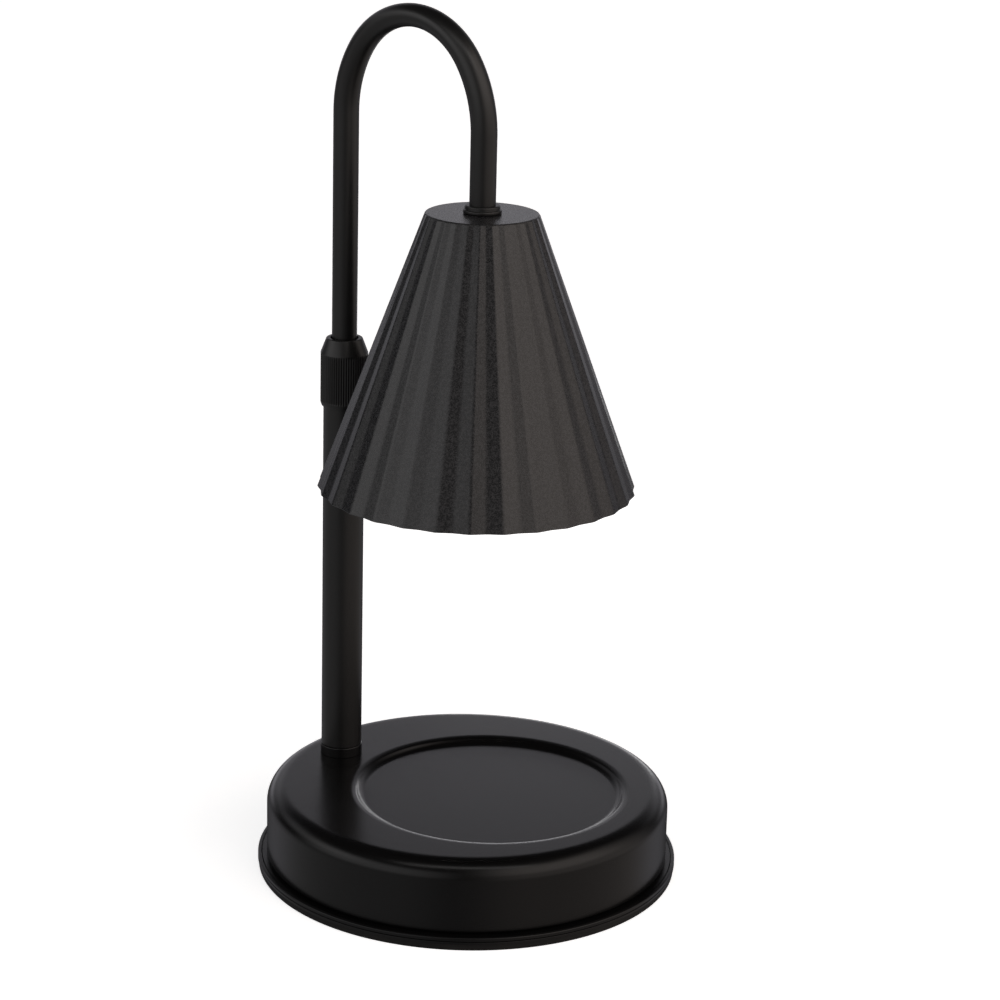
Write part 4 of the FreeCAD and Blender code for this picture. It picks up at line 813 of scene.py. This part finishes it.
def arc(x, z, radius, turns):
    """Centre line of one bend in the arm's plane."""
    return np.stack([x + radius * np.cos(turns), z + radius * np.sin(turns), turns], axis=-1)


stations = np.concatenate([
    [(0, neck_low, math.pi), (0, STRAIGHT_MIDDLE, math.pi)],
    arc(FLANK, BEND_SPRING, FLANK, left_turn),
    arc(arm_reach / 2, BEND_SPRING + rise, CROWN, crown_turn),
    arc(arm_reach - FLANK, BEND_SPRING, FLANK, right_turn),
    [(arm_reach, NECK_END, 0)],
])
stations = np.concatenate([stations, stations[::-1]])
radii = np.repeat([NECK_RADIUS, NECK_RADIUS - NECK_WALL], len(stations) // 2)[:, None]
u = angles(NECK_COLUMNS)
out = radii * np.cos(u) * (1 - FLATTENED * np.sin(stations[:, 2:]) ** 2)
run = stations[:, :1] + out * np.cos(stations[:, 2:])
side = radii * np.sin(u)
neck_points = np.stack([
    pole[0] + run * arm_way[0] - side * arm_way[1],
    pole[1] + run * arm_way[1] + side * arm_way[0],
    stations[:, 1:2] + out * np.sin(stations[:, 2:]),
], axis=-1)
gooseneck = skin("gooseneck_bent", neck_points)
fit(gooseneck, "arm", "black_paint", tube_black, "upper_tube")

# %% [markdown]
# ## Ring on the shade
# Where the gooseneck meets the shade, a small turned ring in two tiers clamps the shade from above. Its
# rounded edges give the small bright glints at both sides of the tube.

# %% Ring on the shade
PLAY = 0.03
NECK_THREAD = NECK_RADIUS + PLAY
TIER_FOOT, TIER_WIDE, TIER_NARROW = 6.1, 6.3, 5.75
TIER_BEVEL, TIER_STEP, TIER_ROUND = 0.5, 1.4, 0.44

cap_level, clamp_top = levels("shade_ring")
clamp_outline = [
    (NECK_THREAD, cap_level),
    (TIER_FOOT, cap_level, 0.12),
    (TIER_WIDE, cap_level + TIER_BEVEL, 0.2),
    (TIER_WIDE, cap_level + TIER_STEP, TIER_ROUND),
    (TIER_NARROW, cap_level + TIER_STEP, 0.1),
    (TIER_NARROW, clamp_top, TIER_ROUND),
    (NECK_THREAD, clamp_top),
]
clamp = turned("shade_ring_turned", rounded(clamp_outline), lamp)
fit(clamp, "arm", "black_paint", tube_black, "shade_ring")

# %% [markdown]
# ## Pleated shade
# The shade is sheet steel folded into thirty pleats and rolled into a cone, with a smooth edge and a flat
# plate at its top. Seen from above it is a zigzag, so the surface is a zigzag that grows with the cone: the
# corners lie at R(v) plus or minus half the pleat's depth, each is softened by the curve (1-t)^2 A + 2t(1-t)
# C + t^2 B between two points beside it, and the sides between them stay flat. A wave of the radius would be
# simpler, but it would round the flat sides, and the light shows that at once. At the top the zigzag closes
# into a circle over a third of a millimetre.

# %% Pleated shade
PLEATS, PLEAT_DEPTH, PLEAT_PHASE, FOLD = 30, 0.86, 9.77, 0.16
SHADE_RIM_RADIUS, SHADE_TOP_RADIUS, SHADE_SHEET, RIM_BEVEL = 52.2, 18.4, 0.8, 0.22
CAP_SHEET, CAP_EDGE, CAP_CLOSING, CAP_ROUND = 1.0, 0.75, 0.3, 0.45
CAP_CREASE, CAP_HOLE, CAP_LAP = 0.12, 4.45, 12.0

rim_level, top_level = levels("shade")
slope = (SHADE_RIM_RADIUS - SHADE_TOP_RADIUS) / (top_level - rim_level)
arm_bearing = math.atan2(arm_way[1], arm_way[0])
phase = arm_bearing + math.radians(PLEAT_PHASE)


def cone(height, inset=0.0):
    """Rows (mean radius, pleat depth, level, roundness) of the pleated cone."""
    mean = SHADE_RIM_RADIUS - slope * (np.asarray(height, float) - rim_level)
    pleat = PLEAT_DEPTH * mean / SHADE_RIM_RADIUS
    return np.stack([mean - inset, pleat, height + 0 * mean, 0 * mean], axis=-1)


def circles(outline):
    """Rows of plain circles from an outline of (r, z)."""
    return np.stack([outline[:, 0], 0 * outline[:, 0], outline[:, 1], 1 + 0 * outline[:, 0]], axis=-1)


edge_low = top_level - CAP_EDGE + CAP_CLOSING
cap_under = top_level - CAP_SHEET
outside = cone(np.linspace(rim_level + RIM_BEVEL, edge_low, 9))
cap_outline = [
    (SHADE_TOP_RADIUS - CAP_CREASE, edge_low + CAP_CREASE),
    (SHADE_TOP_RADIUS, edge_low + CAP_CLOSING),
    (SHADE_TOP_RADIUS, top_level, CAP_ROUND),
    (SHADE_TOP_RADIUS * 0.6, top_level),
    (CAP_HOLE, top_level),
    (CAP_HOLE, cap_under),
    (CAP_LAP, cap_under),
]
cap = circles(rounded(cap_outline))
inside = cone(np.linspace(cap_under, rim_level + RIM_BEVEL, 9), SHADE_SHEET)
rim = cone(np.array([rim_level, rim_level]))
rim[:, 0] -= (SHADE_SHEET - RIM_BEVEL, RIM_BEVEL)
rows = np.concatenate([outside, cap, inside, rim])

corner = np.arange(2 * PLEATS)
bearing = phase + math.pi * corner / PLEATS
tip_radius = rows[:, :1] + rows[:, 1:2] / 2 * np.where(corner % 2, -1, 1)
tips = np.stack([tip_radius * np.cos(bearing), tip_radius * np.sin(bearing)], axis=-1)
entry = tips + (np.roll(tips, 1, axis=1) - tips) * FOLD
leave = tips + (np.roll(tips, -1, axis=1) - tips) * FOLD
t = np.linspace(0, 1, 5)[:, None]
plan = (1 - t) ** 2 * entry[:, :, None] + 2 * t * (1 - t) * tips[:, :, None] + t**2 * leave[:, :, None]
plan = plan.reshape(len(rows), -1, 2)
round_plan = plan / np.linalg.norm(plan, axis=-1, keepdims=True) * rows[:, None, :1]
plan = plan + (round_plan - plan) * rows[:, None, 3:]
height = np.broadcast_to(rows[:, None, 2:3], plan.shape[:2] + (1,))
shade = skin("shade_pleated", np.concatenate([plan + lamp, height], axis=-1))
fit(shade, "arm", "shade_paint", charcoal_sand, "shade")
print("shade", 2 * SHADE_RIM_RADIUS, "mm at the rim,", PLEATS, "pleats")

# %% [markdown]
# ## Cord bushing
# The lead enters through a black nylon bushing in the back wall. Its flange follows the round wall, so the
# flange's inner face isn't flat: at each angle u it lies where the wall is, at x = -sqrt(R^2 - y^2). The
# rest is an outline turned about a level axis, with its bore open right through.

# %% Cord bushing
GLAND_FLANGE, GLAND_BARREL, GLAND_BORE = 5.4, 3.9, 2.6
GLAND_GAP, GLAND_COLUMNS = 0.02, 72

gland_low, gland_high = corners("cord_gland")
tip, tail = gland_low[0], gland_high[0]
gland_outline = rounded([
    (GLAND_BORE, tail),
    (GLAND_BORE, tip, 0.5),
    (GLAND_FLANGE, tip, 0.9),
    (GLAND_FLANGE, -shell_radius),
    (GLAND_BARREL, -shell_radius),
    (GLAND_BARREL, tail),
])
u = angles(GLAND_COLUMNS)
radius = gland_outline[:, :1] + 0 * u
across, up = radius * np.sin(u), radius * np.cos(u)
saddle = -np.sqrt(shell_radius**2 - across**2) - GLAND_GAP
on_wall = np.isclose(gland_outline[:, 1:], -shell_radius)
out = np.where(on_wall, saddle, gland_outline[:, 1:] + 0 * u)
gland = skin("cord_bushing", np.stack([out, across, up + INLET_LEVEL], axis=-1))
fit(gland, "base", "black_plastic", nylon, "cord_gland")

# %% [markdown]
# ## Lampholder
# The holder is a squat ceramic cylinder with chamfered edges. Two curved keyholes in its face take the
# bulb's headed pins: each is a narrow slot with a wider chamber behind it, and they are cut out as bent
# bars.

# %% Lampholder
HOLDER_RADIUS, LEAD_HOLE = 13.0, 1.8
PIN_CIRCLE, PIN_SLOT, HEAD_SLOT, BULB_TURN = 5.0, 1.85, 2.85, 20.0
FACE_THICKNESS, CHAMBER_TOP, SLOT_OVERLAP = 2.7, 6.6, 0.5

holder_low, holder_high = levels("lampholder")
holder_outline = [
    (LEAD_HOLE, holder_low, 0.3),
    (HOLDER_RADIUS, holder_low, 0.9),
    (HOLDER_RADIUS, holder_high, 0.6),
    (LEAD_HOLE, holder_high, 0.3),
]
holder = turned("holder_ceramic", rounded(holder_outline), lamp)


def keyhole(name, half_width, low, high, facing):
    """A bar bent round the holder's axis: a rounded slot from -turn to +turn, raised from low to high."""
    spread = math.radians(BULB_TURN)
    ends = np.linspace(-math.pi / 2, math.pi / 2, 9)
    side = np.linspace(-spread, spread, 9)
    angle = np.concatenate([side, 0 * ends + spread, side[::-1], 0 * ends - spread])
    first_end, last_end = ends + math.pi / 2, ends - math.pi / 2
    offset = np.concatenate([0 * ends + 1, np.cos(first_end), 0 * ends - 1, np.cos(last_end)])
    ahead = np.concatenate([0 * ends, np.sin(first_end), 0 * ends, np.sin(last_end)])
    direction = facing + angle
    reach = PIN_CIRCLE + half_width * offset
    plan_x = reach * np.cos(direction) - half_width * ahead * np.sin(direction)
    plan_y = reach * np.sin(direction) + half_width * ahead * np.cos(direction)
    outline = np.stack([plan_x + lamp[0], plan_y + lamp[1]], axis=-1)
    middle = outline.mean(axis=0)
    rings = [(outline * 0 + middle, low), (outline, low), (outline, high), (outline * 0 + middle, high)]
    return skin(name, np.stack([np.insert(plan, 2, level, axis=1) for plan, level in rings]), along=False)


face_back = holder_low + FACE_THICKNESS
slots = []
for number, facing in enumerate((arm_bearing, arm_bearing + math.pi)):
    slots.append(keyhole(f"slot_{number}", PIN_SLOT, holder_low - BEYOND, face_back + SLOT_OVERLAP, facing))
    slots.append(keyhole(f"chamber_{number}", HEAD_SLOT, face_back, holder_low + CHAMBER_TOP, facing))
cut(holder, slots)
fit(holder, "arm", "white_ceramic", ceramic, "lampholder")

# %% [markdown]
# ## Bulb
# The bulb is a small reflector spotlight. A ceramic foot carries the pins and a cup, a pressed glass bowl
# with a mirror film opens towards the candle, and a clear disc closes it in front of the halogen capsule.
# The bowl's inside is pressed in facets that spread the light: a wave round the bowl and another along it
# raise the glass by up to a seventh of a millimetre, and both fade out at the neck and the rim.

# %% Bulb foot and bowl
FOOT_RADIUS, CUP, CUP_GAP, PIN_HOLE = 9.0, 7.63, 0.1, 1.53
BOWL_NECK, BOWL_FRONT, LENS_RADIUS, BOWL_WALL = 7.6, 25.0, 24.1, 1.1
BOWL_TOP, BOWL_SPRING, BOWL_BAND, BOWL_BEVEL, LENS_RECESS = 193.08, 189.08, 1.1, 0.3, 0.1
BULGE_OUT, BULGE_IN = 3.1, -2.9
FACETS, FACET_ROWS, FACET_COLUMNS, FACET_DEPTH = 32, 6, 8, 0.14

foot_low, foot_high = levels("bulb_base")
bulb_foot_outline = [
    (0, BOWL_TOP + CUP_GAP),
    (CUP, BOWL_TOP + CUP_GAP),
    (CUP, foot_low),
    (FOOT_RADIUS, foot_low, 0.3),
    (FOOT_RADIUS, foot_high, 0.8),
    (0, foot_high),
]
bulb_foot = turned("bulb_foot_ceramic", rounded(bulb_foot_outline), lamp, columns=96)
pins = []
for side in (-1, 1):
    spot = lamp + side * PIN_CIRCLE * arm_way
    pins.append(rod(f"pin_tool_{side}", PIN_HOLE, BOWL_TOP - BEYOND, foot_high + BEYOND, spot))
cut(bulb_foot, pins)
fit(bulb_foot, "bulb", "white_ceramic", ceramic, "bulb_base")

front_low, lens_top = levels("bulb_lens")
bow = np.linspace(0, 1, 25)[:, None]


def bowed(start, end, bulge):
    """A side that bows outwards: the straight way from start to end plus bulge times 4t(1 - t)."""
    start, end = np.array(start, float), np.array(end, float)
    across = np.array([end[1] - start[1], start[0] - end[0]]) / np.linalg.norm(end - start)
    return start + (end - start) * bow + across * bulge * 4 * bow * (1 - bow)


mirror_neck, mirror_front = BOWL_NECK - BOWL_WALL, LENS_RADIUS - BOWL_WALL
rebate = LENS_RADIUS + PLAY
bowl_out = bowed((BOWL_FRONT, lens_top + BOWL_BAND), (BOWL_NECK, BOWL_SPRING), BULGE_OUT)
bowl_in = bowed((mirror_neck, BOWL_SPRING), (mirror_front, lens_top + BOWL_BAND), BULGE_IN)
bowl_outline = np.concatenate([
    [(0, BOWL_TOP - BOWL_WALL), (mirror_neck, BOWL_TOP - BOWL_WALL)],
    bowl_in,
    [(mirror_front, lens_top + PLAY), (rebate, lens_top + PLAY), (rebate, front_low + LENS_RECESS)],
    [(BOWL_FRONT - BOWL_BEVEL, front_low), (BOWL_FRONT, front_low + BOWL_BEVEL)],
    bowl_out,
    [(BOWL_NECK, BOWL_TOP), (0, BOWL_TOP)],
])
columns = FACETS * FACET_COLUMNS
around = angles(columns)
inner = np.zeros((len(bowl_outline), 1))
inner[2:2 + len(bow)] = np.sin(math.pi * bow) ** 0.5 * np.abs(np.sin(FACET_ROWS * math.pi * bow))
facets = FACET_DEPTH * inner * np.abs(np.sin(FACETS / 2 * around))
bowl = turned("bulb_bowl_glass", bowl_outline, lamp, columns, ribs=facets)
fit(bowl, "bulb", "mirror_glass", mirror, "bulb_reflector")

# %% Bulb front and capsule
LENS_ROUND = 0.2
CAPSULE_RADIUS, PINCH_HIGH, PINCH_LOW, PINCH_SHARE = 4.2, 1.5, 3.0, 0.75

lens_low = front_low + LENS_RECESS
front_outline = [
    (0, lens_low),
    (LENS_RADIUS, lens_low, LENS_ROUND),
    (LENS_RADIUS, lens_top, LENS_ROUND),
    (0, lens_top),
]
front = turned("bulb_front_glass", rounded(front_outline), lamp)
fit(front, "bulb", "clear_glass", glass, "bulb_lens")

capsule_low, capsule_high = levels("bulb_capsule")
pinch_radius = CAPSULE_RADIUS * PINCH_SHARE
dome = np.linspace(0, math.pi / 2, 13)
capsule_outline = np.concatenate([
    np.stack([CAPSULE_RADIUS * np.sin(dome), capsule_low + CAPSULE_RADIUS * (1 - np.cos(dome))], axis=-1),
    [(CAPSULE_RADIUS, capsule_high - PINCH_LOW), (pinch_radius, capsule_high - PINCH_HIGH)],
    [(pinch_radius, capsule_high), (0, capsule_high)],
])
capsule = turned("bulb_capsule_glass", capsule_outline, lamp, columns=64)
fit(capsule, "bulb", "clear_glass", glass, "bulb_capsule")

# %% [markdown]
# ## Studio
# A black satin object is drawn by what it mirrors and hardly by what falls on it, so the studio is planned
# as the lamp's mirror image, and it has two faces. The camera sees a white room and a pale floor. The lamp
# sees a dark room with large soft lights in it, because white all round would wash out its black. The floor
# is shown to the camera alone for the same reason, and a glow of its own makes it nearly as white as the
# room.

# %% Floor
FLOOR_SIZE, FLOOR_LEVEL, FLOOR_GLOW = 12.0, -0.02 * MM, 0.74


def floor_recipe(start):
    """Pale card, nearly even, with a glow of its own."""
    card = start.noise(120).between((0.88, 0.88, 0.88), (0.90, 0.90, 0.90))
    return {"Base Color": card, "Emission Color": (1, 1, 1, 1), "Emission Strength": FLOOR_GLOW}


floor_mesh = bpy.data.meshes.new("floor")
half = FLOOR_SIZE / 2
square = [(x * half, y * half, FLOOR_LEVEL) for x, y in ((-1, -1), (1, -1), (1, 1), (-1, 1))]
floor_mesh.from_pydata(square, [], [(0, 1, 2, 3)])
floor = bpy.data.objects.new("floor", floor_mesh)
scene.collection.objects.link(floor)
floor_mesh.materials.append(finish("pale_floor", floor_recipe, Roughness=0.9))
for kind in ("visible_diffuse", "visible_glossy", "visible_transmission", "visible_shadow"):
    setattr(floor, kind, False)
print("floor", FLOOR_SIZE, "m wide")

# %% [markdown]
# ## Two panels
# Two lights stand in the room as real panels. The wide one hangs high in front and puts the highlight on the
# base's shoulder. The small strip stands low and close behind the base and draws the bright line along the
# seat's edge. Each is placed by its bearing from the camera's side to the right, its rise and its distance,
# as a photographer would walk it round, and it faces the base.

# %% Panels
AIM_LEVEL = 0.03


def panel(name, bearing, rise, distance, size, power, tint):
    """An area light on a sphere round the base, at distance (cos r cos b, cos r sin b, sin r)."""
    light = bpy.data.lights.new(name, "AREA")
    light.shape = "RECTANGLE"
    light.size, light.size_y = size
    light.energy = power
    light.color = tint
    turn = math.radians(bearing + HEADING - 90)
    lift = math.radians(rise)
    direction = Vector((math.cos(turn) * math.cos(lift), math.sin(turn) * math.cos(lift), math.sin(lift)))
    target = Vector((0, 0, AIM_LEVEL))
    spot = target + distance * direction
    lit = bpy.data.objects.new(name, light)
    scene.collection.objects.link(lit)
    lit.location = spot
    lit.rotation_euler = (spot - target).to_track_quat("Z", "Y").to_euler()
    lit.visible_camera = False


panel("front_panel", 0, 63, 1.2, (1.2, 0.26), 1.45, (1.0, 0.98, 0.96))
panel("low_strip", 170, 5, 0.45, (0.20, 0.055), 0.060, (1.0, 1.0, 1.0))

# %% [markdown]
# ## Softboxes painted on the world
# The large lights are painted on the world, which is quick to render and has no stand to hide. Each is a
# patch of directions: its bearing, half its width in degrees, its lowest and highest z, and its strength.
# With x to the camera's right and y away from it, n = (x sin b - y cos b) / sqrt(x^2 + y^2) is the cosine of
# the angle to the bearing b, seen from above. A soft step of n makes the patch's sides, and soft steps of z
# its foot and top.
#
# A tube mirrors each patch beside it as an upright band: warm and broad at the right, cool at the left, and
# black in between, where the camera stands. The pleats' flat sides catch the same lights by turns. The
# base's flat top mirrors the backdrop, the seat's edge the horizon below it, and the base's wall the two
# patches low down, which stand for the bright table.

# %% Softboxes
SIDE_SOFTNESS, RISE_SOFTNESS = 27, 0.11
# bearing, half width, lowest z, highest z, strength
SOFTBOXES = {
    "right wall of cloth": (64, 41, -0.18, 0.80, 0.82),
    "right top light": (54, 27, 0.26, 0.80, 0.74),
    "left box": (-54, 30, -0.06, 0.55, 0.96),
    "left side": (-97, 20, 0.24, 0.54, 0.60),
    "right of the floor": (76, 66, -1.2, -0.16, 0.39),
    "left of the floor": (-80, 65, -1.2, -0.12, 0.30),
    "backdrop": (180, 27, 0.23, 0.40, 0.86),
    "horizon": (180, 26, -0.08, 0.11, 1.05),
}

world = bpy.data.worlds.new("studio")
scene.world = world
world.use_nodes = True
world.node_tree.nodes.clear()
sky = Wire(world.node_tree)
turned_way = {"Vector": sky.node("TexCoord", "Generated"), "Rotation": (0, 0, -math.radians(HEADING))}
way = sky.node("Mapping", sockets=turned_way)
x, y, z = (sky.node("SeparateXYZ", part, sockets={0: way}) for part in "XYZ")
level = sky.maths("SQRT", x * x + y * y, 0)


def softbox(bearing, half_width, low, high, strength):
    """The light of one patch: side step(n) times foot step(z) times (1 - top step(z)) times strength."""
    turn = math.radians(bearing)
    nearness = sky.maths("DIVIDE", x * math.sin(turn) - y * math.cos(turn), level)
    outside = math.cos(math.radians(half_width + SIDE_SOFTNESS))
    inside = math.cos(math.radians(half_width - SIDE_SOFTNESS))
    foot = z.step(low - RISE_SOFTNESS, low + RISE_SOFTNESS)
    top = 1 - z.step(high - RISE_SOFTNESS, high + RISE_SOFTNESS)
    return nearness.step(outside, inside) * foot * top * strength


FILL = 0.025
room_light = FILL
for patch in SOFTBOXES.values():
    room_light = room_light + softbox(*patch)
print(len(SOFTBOXES), "softboxes over a fill of", FILL)

# %% [markdown]
# ## The room's colour
# White cloths are never the same white. The room is cool at the left, warm at the right and bluish behind,
# which gives each edge of the black its own tint. A ray from the camera skips all this and meets plain
# white.

# %% Light the room
COOL, WARM, BLUISH = (1.0, 0.984, 0.985), (1.0, 0.905, 0.85), (0.97, 0.95, 1.02)
WARM_STEP, BLUISH_STEP = (-0.2, 0.5), (0.2, 0.7)

side_tint = x.step(*WARM_STEP).between(COOL, WARM)
behind = {0: y.step(*BLUISH_STEP), 6: side_tint, 7: (*BLUISH, 1)}
tint = sky.node("Mix", 2, settings={"data_type": "RGBA"}, sockets=behind)
dim = sky.node("Background", sockets={"Color": tint, "Strength": room_light})
white = sky.node("Background", sockets={"Color": (1, 1, 1, 1), "Strength": 1.0})
for_camera = sky.node("LightPath", "Is Camera Ray")
both = sky.node("MixShader", sockets={0: for_camera, 1: dim, 2: white})
sky.node("OutputWorld", sockets={"Surface": both})
scene.view_settings.view_transform = "Standard"
print("the world has", len(world.node_tree.nodes), "nodes")
